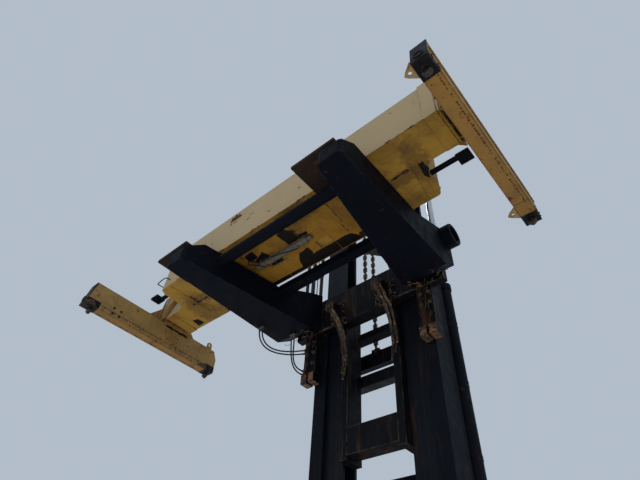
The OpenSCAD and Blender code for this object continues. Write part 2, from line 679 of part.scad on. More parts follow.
// seat and wall that close the sliding beam's end, with a web and two light flanges beside it
wall_t = 20;
wall_h = 470;
web_y = 15;
web_t = 12;
flange_w = 60;
flange_t = 16;
flange_out = 80;
brace_x = end_x0 - 90;
brace_run = 220;
brace_rise = 250;
module pedestal() {
    block(end_x0 - 40, beam_x1 + wall_t, -tube_w - 60, -gap_all, tube_up, tube_up + gap_all);
    from_side(beam_x1, wall_t) polygon([
        [-tube_w - 220, tube_up], [260, tube_up], [50, tube_up + 240], [web_y + flange_t, tube_up + wall_h],
        [-tube_w + gap_all, tube_up + wall_h], [-tube_w - 60, tube_up + 300], [-tube_w - 120, tube_up + 110]
    ]);
    // upright flange beside the beam's end
    block(beam_x1 - flange_out, beam_x1, web_y, web_y + flange_t, tube_up, tube_up + wall_h);
    // web and its sloped flange
    translate([0, web_y + web_t, 0]) rotate([90, 0, 0]) linear_extrude(web_t) polygon([
        [beam_x1, tube_up], [brace_x, tube_up], [brace_x - brace_run, tube_up + brace_rise],
        [brace_x - brace_run, tube_up + brace_rise + 60], [beam_x1, tube_up + wall_h]
    ]);
    translate([0, web_y + flange_w, 0]) rotate([90, 0, 0]) linear_extrude(flange_w) polygon([
        [brace_x, tube_up], [brace_x - brace_run, tube_up + brace_rise],
        [brace_x - brace_run + flange_t, tube_up + brace_rise + flange_t], [brace_x + flange_t, tube_up + flange_t],
        [brace_x + flange_t, tube_up]
    ]);
}

// the box is mirrored on the left, the pedestal is turned, as the tubes are
module end_beam(side, turn) color(yellow) at_spreader() {
    scale([side, 1, 1]) {
        end_box();
        end_strips();
        lifting_eye();
    }
    rotate(turn) pedestal();
}
// lifting eye on top of an end beam's rear end
module lifting_eye() from_side(end_x0 + 10, 20) difference() {
    union() {
        translate([eye_lug_y - 50, tube_up]) square([100, 80]);
        translate([eye_lug_y, tube_up + 80]) circle(50);
    }
    translate([eye_lug_y, tube_up + 80]) circle(22);
}

// lock housings with their guide lugs, and the plate on the end beam's front end
lug_t = 20;
plate_t = 20;
lug_list = [-lock_y - 60, lock_y - 160];
module corner_blocks() {
    for (s = [-1, 1]) {
        difference() {
            block(end_x0 - 6, end_x1 + 6, s > 0 ? housing_in : -end_front, s > 0 ? end_rear : -housing_in,
                landing_up, block_top);
            post(lock_x, s * lock_y, landing_up - 1, block_top + 1, lock_shaft_d + 6);
        }
    }
    for (y = lug_list) translate([end_x0 - 6, y, landing_up + 6]) difference() {
        linear_extrude(lug_t) polygon([[0, -95], [-85, -30], [-110, 0], [-85, 30], [0, 95]]);
        post(-50, 0, -1, lug_t + 1, 40);
    }
    from_side(end_x0 - 6, end_w + 12) polygon([
        [-end_front - plate_t, landing_up], [-end_front, landing_up], [-end_front, block_top],
        [-end_front + nose_lean, tube_up], [-end_front + nose_lean - plate_t, tube_up]
    ]);
}

// twistlock: tapered head, neck and shaft
module lock() {
    difference() {
        intersection() {
            rotate_extrude() polygon([[0, 0], [20, 0], [50, 36], [52, 42], [52, 50], [26, 62], [0, 62]]);
            translate([-60, -28, 0]) cube([120, 56, 70]);
        }
        translate([0, 0, -1]) cylinder(d = 14, h = 12);
    }
    post(0, 0, 52, block_top, lock_shaft_d);
    post(0, 0, block_top + seat_gap, block_top + 30, lock_shaft_d + 30);
    post(0, 0, block_top, block_top + 1, lock_shaft_d);
}
module lock_at(sx, sy) color(black) at_spreader() translate([sx * lock_x, sy * lock_y, 0]) lock();

color(black) scale([-1, 1, 1]) outer_rail_side();  // outer_rail_left
color(black) outer_rail_side();  // outer_rail_right
outer_ties();
mast_brackets();
outer_rollers();
lift_barrels();
color(black) scale([-1, 1, 1]) inner_rail();  // inner_rail_left
color(black) inner_rail();  // inner_rail_right
inner_ties();
crosshead();
inner_rollers();
lift_rods();
lift_chains();
mast_hoses();
sheave(-chain_x);  // sheave_left
sheave(chain_x);  // sheave_right
color(black) scale([-1, 1, 1]) side_plate();  // side_plate_left
color(black) side_plate();  // side_plate_right
carriage_beams();
carriage_rollers();
color(black) scale([-1, 1, 1]) shank();  // shank_left
color(black) shank();  // shank_right
color(black) scale([-1, 1, 1]) arm();  // arm_left
color(black) arm();  // arm_right
arm_pins();
cross_tube();
rear_member();
shift_rod();
arm_hoses();
main_frame();
bearing_shoes();
shift_barrel();
underside_cylinder();
valve_block();
marker_bars();
color(yellow) at_spreader() rotate(180) beam();  // beam_left
end_beam(-1, 180);  // end_beam_left
color(black) at_spreader() scale([-1, 1, 1]) corner_blocks();  // corner_blocks_left
color(yellow) at_spreader() beam();  // beam_right
end_beam(1, 0);  // end_beam_right
color(black) at_spreader() corner_blocks();  // corner_blocks_right
lock_at(-1, -1);  // lock_left_front
lock_at(-1, 1);  // lock_left_rear
lock_at(1, -1);  // lock_right_front
lock_at(1, 1);  // lock_right_rear
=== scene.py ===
from math import cos, hypot, pi, radians, sin, sqrt
from random import Random
import bmesh
import bpy
from mathutils import Matrix, Vector


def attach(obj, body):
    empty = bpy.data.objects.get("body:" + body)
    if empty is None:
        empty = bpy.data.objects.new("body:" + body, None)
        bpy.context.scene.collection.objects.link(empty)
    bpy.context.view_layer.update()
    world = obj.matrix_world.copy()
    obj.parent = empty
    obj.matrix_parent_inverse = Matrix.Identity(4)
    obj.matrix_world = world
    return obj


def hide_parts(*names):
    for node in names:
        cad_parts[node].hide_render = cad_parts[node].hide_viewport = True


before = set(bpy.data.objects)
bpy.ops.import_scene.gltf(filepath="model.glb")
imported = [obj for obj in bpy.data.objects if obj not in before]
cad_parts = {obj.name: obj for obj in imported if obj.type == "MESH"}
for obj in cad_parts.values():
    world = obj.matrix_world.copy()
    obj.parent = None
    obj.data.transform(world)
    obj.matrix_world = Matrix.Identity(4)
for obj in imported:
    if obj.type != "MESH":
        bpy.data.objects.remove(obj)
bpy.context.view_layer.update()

# Camera: stands on the ground at eye height and looks up at the raised spreader, rolled a
# little, with a plain wide lens. The place and angle come from the four twistlocks.
EYE = Vector((3.2122, -5.1011, 0.8533))
LOOK_ROUND, LOOK_UP, ROLL = radians(43.71167), radians(46.28706), radians(4.55585)
FOCAL_PIXELS, FRAME_PIXELS, SENSOR = 466.4709, 640, 36


def stand(name, data):
    """A new object with that data, put in the scene."""
    item = bpy.data.objects.new(name, data)
    bpy.context.scene.collection.objects.link(item)
    return item


camera = stand("eye", bpy.data.cameras.new("eye"))
camera.matrix_world = (Matrix.Translation(EYE) @ Matrix.Rotation(LOOK_ROUND, 4, "Z")
                       @ Matrix.Rotation(pi / 2 + LOOK_UP, 4, "X") @ Matrix.Rotation(ROLL, 4, "Z"))
camera.data.lens = FOCAL_PIXELS / FRAME_PIXELS * SENSOR
camera.data.sensor_width = SENSOR
camera.data.clip_end = 200
bpy.context.scene.camera = camera
bpy.context.scene.view_settings.view_transform = "Standard"

# Arm hoses: four rubber hoses that hang in two pairs of loops from under the left arm to the left
# shank, held at both ends. Curves with a round section; their crimped ends come with the arms.
SPREADER = Vector((-0.32, -2.11, 4.95))
HOSE_D, HOSE_PITCH, HOSE_STEPS, BLOCK_DROP = 0.022, 0.06, 40, 0.035
# the four points that bend each pair, given from the middle of the twistlocks' tips
HOSE_BENDS = [
    [(-1.1, 0.7, 0.0357), (-1.1, 0.72, -0.48), (-0.95, 1.25, -0.22), (-0.83, 1.44, -0.14)],
    [(-0.84, 1.12, 0.0357), (-0.88, 1.2, -0.23), (-0.93, 1.22, -0.5), (-0.83, 1.44, -0.5)],
]
hose_curves = []
for pair, bend in enumerate(HOSE_BENDS):
    for i in range(2):
        aside, raised = Vector((i * HOSE_PITCH, 0, 0)), Vector((0, 0, i * HOSE_PITCH))
        a, b, c, d = [SPREADER + Vector(p) for p in bend]
        a, b, c, d = a + aside - Vector((0, 0, BLOCK_DROP)), b + aside, c + raised, d + raised
        route = [a * (1 - t) ** 3 + 3 * b * (1 - t) ** 2 * t + 3 * c * (1 - t) * t * t + d * t ** 3
                 for t in (k / HOSE_STEPS for k in range(HOSE_STEPS + 1))]
        line = bpy.data.curves.new(f"arm_hose_{pair}{i}", "CURVE")
        line.dimensions = "3D"
        # depth 1 and the real radius at each point, which keeps the curve's box right
        line.bevel_depth = 1
        line.bevel_resolution = 4
        spline = line.splines.new("POLY")
        spline.points.add(HOSE_STEPS)
        for point, p in zip(spline.points, route):
            point.co = (*p, 1)
            point.radius = HOSE_D / 2
        hose = stand(f"arm_hose_{pair}{i}", line)
        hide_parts("arm_hoses")
        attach(hose, "carriage")
        hose_curves.append((hose, route))

# Ground and light: a pale floor under the mast's foot, an even pale sky, one soft sun from behind
# the spreader, and a wide low lamp that stands for light off the ground.
GROUND, FLOOR_REACH = -0.75, 40
floor_mesh = bpy.data.meshes.new("floor")
corners = [(x * FLOOR_REACH, y * FLOOR_REACH, GROUND) for x, y in ((-1, -1), (1, -1), (1, 1), (-1, 1))]
floor_mesh.from_pydata(corners, [], [(0, 1, 2, 3)])
stand("floor", floor_mesh)
floor_finish = bpy.data.materials.new("pale floor")
floor_finish.use_nodes = True
floor_shader = floor_finish.node_tree.nodes["Principled BSDF"]
floor_shader.inputs["Base Color"].default_value = (0.62, 0.62, 0.62, 1)
floor_shader.inputs["Roughness"].default_value = 0.9
floor_mesh.materials.append(floor_finish)
sky = bpy.data.worlds.new("pale sky")
sky.use_nodes = True
sky.node_tree.nodes["Background"].inputs["Color"].default_value = (0.74, 0.85, 0.97, 1)
sky.node_tree.nodes["Background"].inputs["Strength"].default_value = 0.6
bpy.context.scene.world = sky


def lamp(name, kind, place, aim, energy, size, colour):
    light = bpy.data.lights.new(name, kind)
    light.energy, light.color = energy, colour
    setattr(light, "angle" if kind == "SUN" else "size", size)
    item = stand(name, light)
    item.location = place
    item.rotation_euler = (Vector(aim) - Vector(place)).to_track_quat("-Z", "Y").to_euler()


lamp("sun", "SUN", (-4, 4, 12), (0, -1, 4), 1.7, radians(12), (1, 0.97, 0.92))
lamp("ground glow", "AREA", (1.5, -5, -0.6), (0, -2, 5), 90, 7, (1, 0.95, 0.88))


# Outer stage of the mast: black painted channels with ties welded across their backs and brackets,
# dirty and worn. Node groups give masks for worn edges, streaks, blotches and faces that look one
# way, and each finish mixes its own from them.
def wire(tree, a, b):
    tree.links.new(a, b)


def feed(tree, value, socket):
    """Sets the socket to a number or a colour, or wires it to another node's output."""
    if isinstance(value, (int, float, tuple)):
        socket.default_value = (*value, 1) if isinstance(value, tuple) else value
    else:
        wire(tree, value, socket)


def add(tree, kind, **values):
    """A node of that kind, with its settings and inputs by name."""
    n = tree.nodes.new("ShaderNode" + kind)
    for key, value in values.items():
        if hasattr(n, key):
            setattr(n, key, value)
        else:
            feed(tree, value, n.inputs[key.replace("_", " ")])
    return n


def new_group(name, *sockets_in):
    """A node group with those inputs and their defaults, which gives a mask."""
    tree = bpy.data.node_groups.new(name, "ShaderNodeTree")
    for label, value in sockets_in:
        kind = "NodeSocketVector" if isinstance(value, tuple) else "NodeSocketFloat"
        tree.interface.new_socket(label, in_out="INPUT", socket_type=kind).default_value = value
    tree.interface.new_socket("Mask", in_out="OUTPUT", socket_type="NodeSocketFloat")
    return tree, tree.nodes.new("NodeGroupInput").outputs, tree.nodes.new("NodeGroupOutput").inputs["Mask"]


def ramp(tree, source, low, high):
    return add(tree, "MapRange", clamp=True, Value=source, From_Min=low, From_Max=high).outputs["Result"]


def maths(tree, how, a, b):
    m = add(tree, "Math", operation=how)
    feed(tree, a, m.inputs[0])
    feed(tree, b, m.inputs[1])
    return m.outputs[0]


def vectors(tree, how, a, b, out="Vector"):
    m = add(tree, "VectorMath", operation=how)
    wire(tree, a, m.inputs[0])
    wire(tree, b, m.inputs[1])
    return m.outputs[out]


def here(tree):
    return add(tree, "TexCoord").outputs["Object"]


def faces(tree):
    return add(tree, "NewGeometry").outputs["Normal"]


def noise(tree, **values):
    return add(tree, "TexNoise", **values).outputs["Fac"]


# on the black paint this mask also carries a blue-grey painted highlight along the edges
edge_wear_and_sheen, give, take = new_group("edge wear", ("Width", 0.01), ("Amount", 1), ("Grain", 9))
rounded = add(edge_wear_and_sheen, "Bevel", samples=4, Radius=give["Width"]).outputs[0]
bend_off = vectors(edge_wear_and_sheen, "DOT_PRODUCT", rounded, faces(edge_wear_and_sheen), "Value")
chipped = noise(edge_wear_and_sheen, Vector=here(edge_wear_and_sheen), Scale=give["Grain"], Detail=6, Roughness=0.7)
worn = maths(edge_wear_and_sheen, "MULTIPLY", ramp(edge_wear_and_sheen, bend_off, 0.995, 0.8), ramp(edge_wear_and_sheen, chipped, 0.42, 0.6))
wire(edge_wear_and_sheen, maths(edge_wear_and_sheen, "MULTIPLY", worn, give["Amount"]), take)

streaks, give, take = new_group("streaks", ("Across", 14), ("Down", 0.8), ("Low", 0.45), ("High", 0.75))
stretch = add(streaks, "CombineXYZ", X=give["Across"], Y=give["Across"], Z=give["Down"]).outputs[0]
drawn = vectors(streaks, "MULTIPLY", here(streaks), stretch)
drawn = noise(streaks, Vector=drawn, Scale=1, Detail=5, Roughness=0.62)
wire(streaks, ramp(streaks, drawn, give["Low"], give["High"]), take)

blotches, give, take = new_group("blotches", ("Scale", 2), ("Low", 0.5), ("High", 0.7), ("Twist", 0.6))
cloudy = noise(blotches, Vector=here(blotches), Scale=give["Scale"], Distortion=give["Twist"],
               Detail=7, Roughness=0.68)
wire(blotches, ramp(blotches, cloudy, give["Low"], give["High"]), take)

# on the yellow paint this mask also paints light and shade: lighter fronts, darker undersides
facing, give, take = new_group("facing", ("Way", (0, 0, 1)), ("Low", 0.2), ("High", 0.9))
looks = vectors(facing, "DOT_PRODUCT", faces(facing), give["Way"], "Value")
wire(facing, ramp(facing, looks, give["Low"], give["High"]), take)


def patches(tint, scale, low, high, strength):
    return tint, blotches, dict(Scale=scale, Low=low, High=high), strength


def runs(tint, across, down, low, high, strength):
    return tint, streaks, dict(Across=across, Down=down, Low=low, High=high), strength


def side_on(tint, way, low, high, strength):
    return tint, facing, dict(Way=way, Low=low, High=high), strength


def use(tree, group, **values):
    n = tree.nodes.new("ShaderNodeGroup")
    n.node_tree = group
    for key, value in values.items():
        n.inputs[key].default_value = value
    return n.outputs[0]


def over(tree, below, tint, mask):
    """One colour laid over another by a mask; 6 and 7 are the mix node's colour inputs."""
    m = add(tree, "Mix", data_type="RGBA")
    wire(tree, mask, m.inputs[0])
    feed(tree, below, m.inputs[6])
    feed(tree, tint, m.inputs[7])
    return m.outputs[2]


def weathered(name, coat, shade, layers, rough=0.5, spread=0.2, edge=None, bump=0.25, grain=40, metal=0,
              gloss=0.5, soft_edge=0.004, lumps=0):
    """A coat that varies to a shade, with layers of (colour, group, values, strength) over it."""
    mat = bpy.data.materials.new(name)
    mat.use_nodes = True
    t = mat.node_tree
    shader = t.nodes["Principled BSDF"]
    colour = over(t, coat, shade, use(t, blotches, Scale=1.3, Low=0.35, High=0.75))
    for tint, group, values, strength in layers:
        colour = over(t, colour, tint, maths(t, "MULTIPLY", use(t, group, **values), strength))
    if edge:
        tint, width, amount = edge
        colour = over(t, colour, tint, use(t, edge_wear_and_sheen, Width=width, Amount=amount))
    wire(t, colour, shader.inputs["Base Color"])
    dull = use(t, blotches, Scale=6, Low=0.3, High=0.7)
    dull = add(t, "MapRange", Value=dull, To_Min=rough, To_Max=rough + spread).outputs[0]
    wire(t, dull, shader.inputs["Roughness"])
    shader.inputs["Metallic"].default_value = metal
    shader.inputs["Specular IOR Level"].default_value = gloss
    height = noise(t, Vector=here(t), Scale=grain, Detail=5)
    if lumps:
        swell = use(t, blotches, Scale=9, Low=0.4, High=0.8)
        height = maths(t, "ADD", height, maths(t, "MULTIPLY", swell, lumps))
    pitted = add(t, "Bump", Strength=bump, Distance=0.004, Height=height)
    if soft_edge:
        wire(t, add(t, "Bevel", samples=4, Radius=soft_edge).outputs[0], pitted.inputs["Normal"])
    wire(t, pitted.outputs[0], shader.inputs["Normal"])
    return mat


def dress(finish, *names):
    for n in names:
        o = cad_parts[n]
        o.data.materials.clear()
        o.data.materials.append(finish)


UP, DOWN, FRONT, BACK, RIGHT = (0, 0, 1), (0, 0, -1), (0, -1, 0), (0, 1, 0), (1, 0, 0)
RUST, ORANGE, DUST = (0.07, 0.026, 0.012), (0.26, 0.095, 0.028), (0.33, 0.29, 0.23)
GREASE, BARE = (0.17, 0.115, 0.062), (0.2, 0.17, 0.14)
mast_black = weathered("mast black", (0.0055, 0.0075, 0.013), (0.003, 0.0036, 0.006), [
    runs(GREASE, 16, 0.5, 0.58, 0.82, 0.15),
    runs(RUST, 9, 0.9, 0.58, 0.76, 0.6),
    side_on(DUST, UP, 0.3, 0.9, 0.35),
    patches(RUST, 5, 0.62, 0.7, 0.7),
    patches(ORANGE, 7, 0.7, 0.76, 0.5),
# blue-grey edges: partly wear, partly a painted highlight on the edges
], rough=0.44, spread=0.3, edge=((0.03, 0.04, 0.06), 0.01, 0.8), gloss=0.08)
roller_steel = weathered("roller steel", (0.2, 0.18, 0.16), (0.08, 0.07, 0.06), [
    patches(GREASE, 12, 0.5, 0.7, 0.6)], rough=0.35, metal=0.8, edge=(BARE, 0.004, 0.8))
dress(mast_black, "outer_rail_left", "outer_rail_right", "outer_ties", "mast_brackets", "lift_barrels")
dress(roller_steel, "outer_rollers")


def turns(n, start=0):
    return [2 * pi * (k + start) / n for k in range(n)]


def ring_of(bm, centre, across, on, radius, sides):
    return [bm.verts.new(centre + radius * (cos(turn) * across + sin(turn) * on)) for turn in turns(sides)]


def skin(bm, rings, closed=False):
    """Faces from ring to ring, with its ends filled or closed round."""
    n = len(rings[0])
    for i in range(len(rings) - (0 if closed else 1)):
        a, b = rings[i], rings[(i + 1) % len(rings)]
        for k in range(n):
            bm.faces.new((a[k], a[(k + 1) % n], b[(k + 1) % n], b[k]))
    if not closed:
        bm.faces.new(rings[0][::-1])
        bm.faces.new(rings[-1])


def turned(bm, at, axis, profile, sides=24, ring=False):
    """A round piece on an axis; the profile lists (distance along it, radius) in mm. A ring's is closed."""
    axis = Vector(axis).normalized()
    across = axis.orthogonal().normalized()
    on = axis.cross(across)
    skin(bm, [ring_of(bm, Vector(at) + axis * (d / 1000), across, on, r / 1000, sides) for d, r in profile], ring)


def sweep(bm, path, radius, sides=8, closed=False):
    """A tube along the points of path; radius is a number or a function of the ring's number."""
    path = [Vector(p) for p in path]
    across, rings, n = None, [], len(path)
    for i, p in enumerate(path):
        if closed:
            before, after = path[i - 1], path[(i + 1) % n]
        else:
            before, after = path[max(i - 1, 0)], path[min(i + 1, n - 1)]
        along = (after - before).normalized()
        across = along.orthogonal() if across is None else across - across.dot(along) * along
        across.normalize()
        rings.append(ring_of(bm, p, across, along.cross(across), radius(i) if callable(radius) else radius, sides))
    skin(bm, rings, closed)


def bead(bm, a, b, size, seed=1, pitch=0.018):
    """A weld bead from a to b, so many mm thick, rippled and a little uneven."""
    rng, size = Random(seed), size / 1000
    a, b = Vector(a), Vector(b)
    n = max(2, int((b - a).length / pitch))
    path = [a.lerp(b, i / n) + Vector([rng.uniform(-0.1, 0.1) * size for _ in range(3)]) for i in range(n + 1)]
    sweep(bm, path, lambda i: size * (0.78 + 0.22 * (i % 2)), 6)


def bolts(bm, places, axis, across):
    """Hexagon bolt heads, so many mm across their flats, on washers and with the shanks' ends."""
    flat, point = across / 2, across / sqrt(3)
    washer, stub = flat * 1.65, flat * 0.55
    for at in places:
        turned(bm, at, axis, [(-1, washer), (across * 0.1, washer), (across * 0.13, flat * 1.55)], 20)
        turned(bm, at, axis, [(across * 0.12, point), (across * 0.62, point), (across * 0.72, point * 0.86)], 6)
        turned(bm, at, axis, [(across * 0.7, stub), (across * 0.86, stub), (across * 0.9, flat * 0.45)], 12)


def keep(name, bm, finish, body, rounded=0):
    """Makes the piece, smooth but for its real edges, and puts it on its body."""
    bmesh.ops.recalc_face_normals(bm, faces=bm.faces)
    for f in bm.faces:
        f.smooth = True
    for e in bm.edges:
        e.smooth = e.calc_face_angle(0) < radians(32)
    mesh = bpy.data.meshes.new(name)
    bm.to_mesh(mesh)
    bm.free()
    mesh.materials.append(finish)
    item = stand(name, mesh)
    if rounded:
        soft = item.modifiers.new("rounded", "BEVEL")
        soft.width, soft.segments, soft.limit_method, soft.angle_limit = rounded, 2, "ANGLE", radians(40)
    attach(item, body)


TIE_H, TIE_FACE, TIE_ENDS = 0.24, -0.158, (0.802, 0.878)
welds = bmesh.new()
for side in (-1, 1):
    for i, z in enumerate((-0.35, 1.388, 3.126, 4.864 - TIE_H)):
        for edge_z in (z + 0.006, z + 0.234):
            bead(welds, (side * TIE_ENDS[0], TIE_FACE, edge_z), (side * TIE_ENDS[1], TIE_FACE, edge_z), 6, i)
keep("tie_welds", welds, mast_black, "outer_mast")

# Lift cylinders: steel barrels painted with the mast, each with a bolted gland, a hexagonal port at
# its foot and under its gland, and a bent pipe between the two in clamps.
BARREL_X, BARREL_Y, PIPE_OUT, PIPE_BACK, PIPE_R = 0.985, -0.03, 0.035, 0.118, 0.01
GLAND_R, GLAND_Z, GLAND_BOLTS, PORT_ZS = 0.084, 5.5, 8, (0.42, 5.4)
PIPE_ZS, CLAMP_ZS = (0.45, 0.52, 5.28, 5.35), (1.2, 2.1, 3, 3.9, 4.8)
CLAMP = [(0, 86), (0, 91.5), (2, 94), (28, 94), (30, 91.5), (30, 86)]
fittings = bmesh.new()
for side in (-1, 1):
    barrel_x, pipe_x, pipe_y = side * BARREL_X, side * (BARREL_X + PIPE_OUT), BARREL_Y + PIPE_BACK
    bolts(fittings, [(barrel_x + GLAND_R * cos(turn), BARREL_Y + GLAND_R * sin(turn), GLAND_Z)
                     for turn in turns(GLAND_BOLTS, 0.5)], UP, 16)
    port_y = BARREL_Y + 0.098
    pipe = [(barrel_x, port_y, PORT_ZS[0]), *[(pipe_x, pipe_y, z) for z in PIPE_ZS], (barrel_x, port_y, PORT_ZS[1])]
    sweep(fittings, pipe, PIPE_R, 10)
    for z in PORT_ZS:
        turned(fittings, (barrel_x, BARREL_Y + 0.085, z), BACK, [(0, 26), (22, 26), (26, 20), (34, 20)], 6)
    for z in CLAMP_ZS:
        turned(fittings, (barrel_x, BARREL_Y, z), UP, CLAMP, 36, ring=True)
        turned(fittings, (pipe_x, pipe_y, z), UP, [(0, 14), (2, 17), (28, 17), (30, 14)], 14)
keep("lift_cylinder_fittings", fittings, mast_black, "outer_mast")

# Inner stage: the same channels, greased where the carriage's rollers run, with ties welded across
# and a crosshead that the chromed lift rods push up, each held by a nut and four bolts.
greased_black = weathered("greased mast black", (0.0045, 0.007, 0.013), (0.0028, 0.0034, 0.0056), [
    runs(GREASE, 22, 0.4, 0.56, 0.8, 0.16),
    runs(RUST, 7, 1.2, 0.58, 0.74, 0.6),
    side_on(DUST, UP, 0.3, 0.9, 0.35),
], rough=0.34, spread=0.35, edge=((0.06, 0.044, 0.028), 0.01, 0.9), gloss=0.14)
rod_chrome = weathered("rod chrome", (0.58, 0.59, 0.61), (0.44, 0.44, 0.45), [
    runs(GREASE, 30, 2, 0.6, 0.75, 0.3)], rough=0.27, spread=0.12, metal=1, bump=0.02, soft_edge=0)
dress(greased_black, "inner_rail_left", "inner_rail_right", "inner_ties", "crosshead")
dress(roller_steel, "inner_rollers")
dress(rod_chrome, "lift_rods")

# Sheaves and lift chains: two turned wheels on axles between cheeks, with leaf chains of dark
# greasy steel run over them. The axles' ends have a washer and a nut outside the cheeks.
CHAIN_X, SHEAVE_Y, SHEAVE_Z, AXLE_HALF, HEAD_TOP = 0.25, -0.18, 8.29, 0.085, 8.15
chain_steel = weathered("chain steel", (0.045, 0.038, 0.033), (0.018, 0.015, 0.013), [
    patches(GREASE, 16, 0.45, 0.7, 0.7),
    patches(RUST, 9, 0.58, 0.7, 0.7)], rough=0.32, metal=0.7, edge=(BARE, 0.003, 0.9), soft_edge=0.002)
dress(roller_steel, "sheave_left", "sheave_right")
dress(chain_steel, "lift_chains")
nuts = bmesh.new()
for side in (-1, 1):
    for way in (-1, 1):
        end = side * CHAIN_X + way * AXLE_HALF
        turned(nuts, (end, SHEAVE_Y, SHEAVE_Z), (way, 0, 0), [(0, 40), (10, 40), (12, 36)], 24)
        turned(nuts, (end + way * 0.011, SHEAVE_Y, SHEAVE_Z), (way, 0, 0), [(0, 32), (20, 32), (24, 27)], 6)
    # the nut on the lift rod, with a domed end, and the bolts round it
    turned(nuts, (side * BARREL_X, BARREL_Y, HEAD_TOP), UP,
           [(0, 52), (30, 52), (36, 44), (60, 30), (66, 26)], 6)
    bolts(nuts, [(side * BARREL_X + x, BARREL_Y + y, HEAD_TOP) for x in (-0.07, 0.07) for y in (-0.08, 0.08)], UP, 26)
keep("crosshead_nuts", nuts, chain_steel, "inner_mast")

# Mast hoses: rubber hoses of three sizes that hang from a header at the left rail's top, each with
# a crimped sleeve and a nut under the header and two bands of tape lower down.
hose_rubber = weathered("hose rubber", (0.014, 0.015, 0.018), (0.024, 0.024, 0.025), [
    side_on(DUST, UP, 0.1, 0.9, 0.3)], bump=0.3, grain=300, gloss=0.35, soft_edge=0)
dress(hose_rubber, "mast_hoses")
for hose, route in hose_curves:
    hose.data.materials.append(hose_rubber)
HOSE_Y, SLEEVE_Z, TAPE_ZS = -0.5, 8.03, (7.6, 7.86)
ferrules = bmesh.new()
for x, r in ((-1.065, 30), (-1.16, 8), (-1.26, 35), (-1.4, 30)):
    turned(ferrules, (x, HOSE_Y, SLEEVE_Z), UP,
           [(0, r + 1), (6, r + 5), (70, r + 5), (74, r + 9), (110, r + 9), (114, r + 3)], 24)
    for z in TAPE_ZS:
        turned(ferrules, (x, HOSE_Y, z), UP, [(0, r), (3, r + 3), (35, r + 3), (38, r)], 24)
keep("mast_hose_ferrules", ferrules, roller_steel, "inner_mast")

# Carriage: black plates and a cross beam between the rails, with rollers, a comb in front of the mast
# hoses and two hanging shanks. Welded plate, dirty and streaked with rust.
carriage_black = weathered("carriage black", (0.004, 0.005, 0.0085), (0.0025, 0.0028, 0.0042), [
    runs(GREASE, 15, 1.4, 0.58, 0.76, 0.3),
    runs(RUST, 8, 1, 0.55, 0.7, 0.75),
    patches(ORANGE, 6, 0.66, 0.74, 0.6),
    side_on(DUST, UP, 0.3, 0.9, 0.4),
], rough=0.42, spread=0.35, edge=((0.16, 0.12, 0.075), 0.016, 0.9), gloss=0.12, lumps=0.5, bump=0.4)
dress(carriage_black, "side_plate_left", "side_plate_right", "carriage_beams", "shank_left", "shank_right")
dress(roller_steel, "carriage_rollers")

# Knees: on each side a curved web that swells from the side plate's front edge to a nose under the
# cross beam's front, with a thick flange bent round its edge. Flame-cut plate, welded on.
WEB_X, WEB_T, FLANGE_X, FLANGE_W = 0.402, 0.052, 0.372, 0.112
# (y, z) of the web's front edge from its foot up, of its nose, and of its back
KNEE = [(-0.6, 4.46), (-0.615, 4.6), (-0.65, 4.785), (-0.69, 4.875), (-0.741, 4.956), (-0.8, 5.03),
        (-0.86, 5.09), (-0.93, 5.145), (-0.99, 5.185)]
KNEE_NOSE = [(-1.008, 5.215), (-0.995, 5.25), (-0.95, 5.272), (-0.82, 5.3), (-0.711, 5.4)]
KNEE_BACK = [(-0.711, 5.049), (-0.591, 5.049), (-0.591, 4.46)]


def slab(bm, outline, push):
    """A plate: the outline's points, pushed out along a vector."""
    low = [bm.verts.new(Vector(p)) for p in outline]
    high = [bm.verts.new(Vector(p) + Vector(push)) for p in outline]
    skin(bm, [low, high])


knees = bmesh.new()
for side in (-1, 1):
    slab(knees, [(side * WEB_X, y, z) for y, z in KNEE + KNEE_NOSE + KNEE_BACK], (side * WEB_T, 0, 0))
    rim = KNEE + KNEE_NOSE[:4]
    inner_rim = [(y + 0.026, z + 0.01) for y, z in rim]
    for corners in zip(rim, rim[1:], inner_rim[1:], inner_rim):
        slab(knees, [(side * FLANGE_X, y, z) for y, z in corners], (side * FLANGE_W, 0, 0))
keep("knees", knees, carriage_black, "carriage", rounded=0.004)

# Caked grease: strings, lumps and curls of old hard grease on the knees, on the cross beam's front,
# under the arms' roots and on the shanks. Round strings laid on the steel, thick and thin by chance.
BEAM_FACE, NOSE_FACE, SHANK_FACE, EDGE_Y, EDGE_Z, ROOT_UNDER = -0.716, -0.97, -0.713, -0.712, 5.062, 4.984
old_grease = weathered("old grease", (0.08, 0.044, 0.02), (0.016, 0.01, 0.007), [
    patches((0.01, 0.007, 0.005), 11, 0.5, 0.58, 0.95),
    patches((0.2, 0.08, 0.028), 8, 0.55, 0.64, 0.8),
    # pale gold patches: painted highlights on the grease
    patches((0.42, 0.32, 0.18), 30, 0.56, 0.64, 0.85),
], rough=0.38, spread=0.3, bump=0.8, grain=70, soft_edge=0)
caked = bmesh.new()
rng = Random(7)


def string_of(points, thin, thick, sides=6):
    """A string of grease along the points, of uneven thickness, which it gives back."""
    sizes = [rng.uniform(thin, thick) for _ in points]
    sweep(caked, points, lambda i: sizes[i], sides)
    return sizes


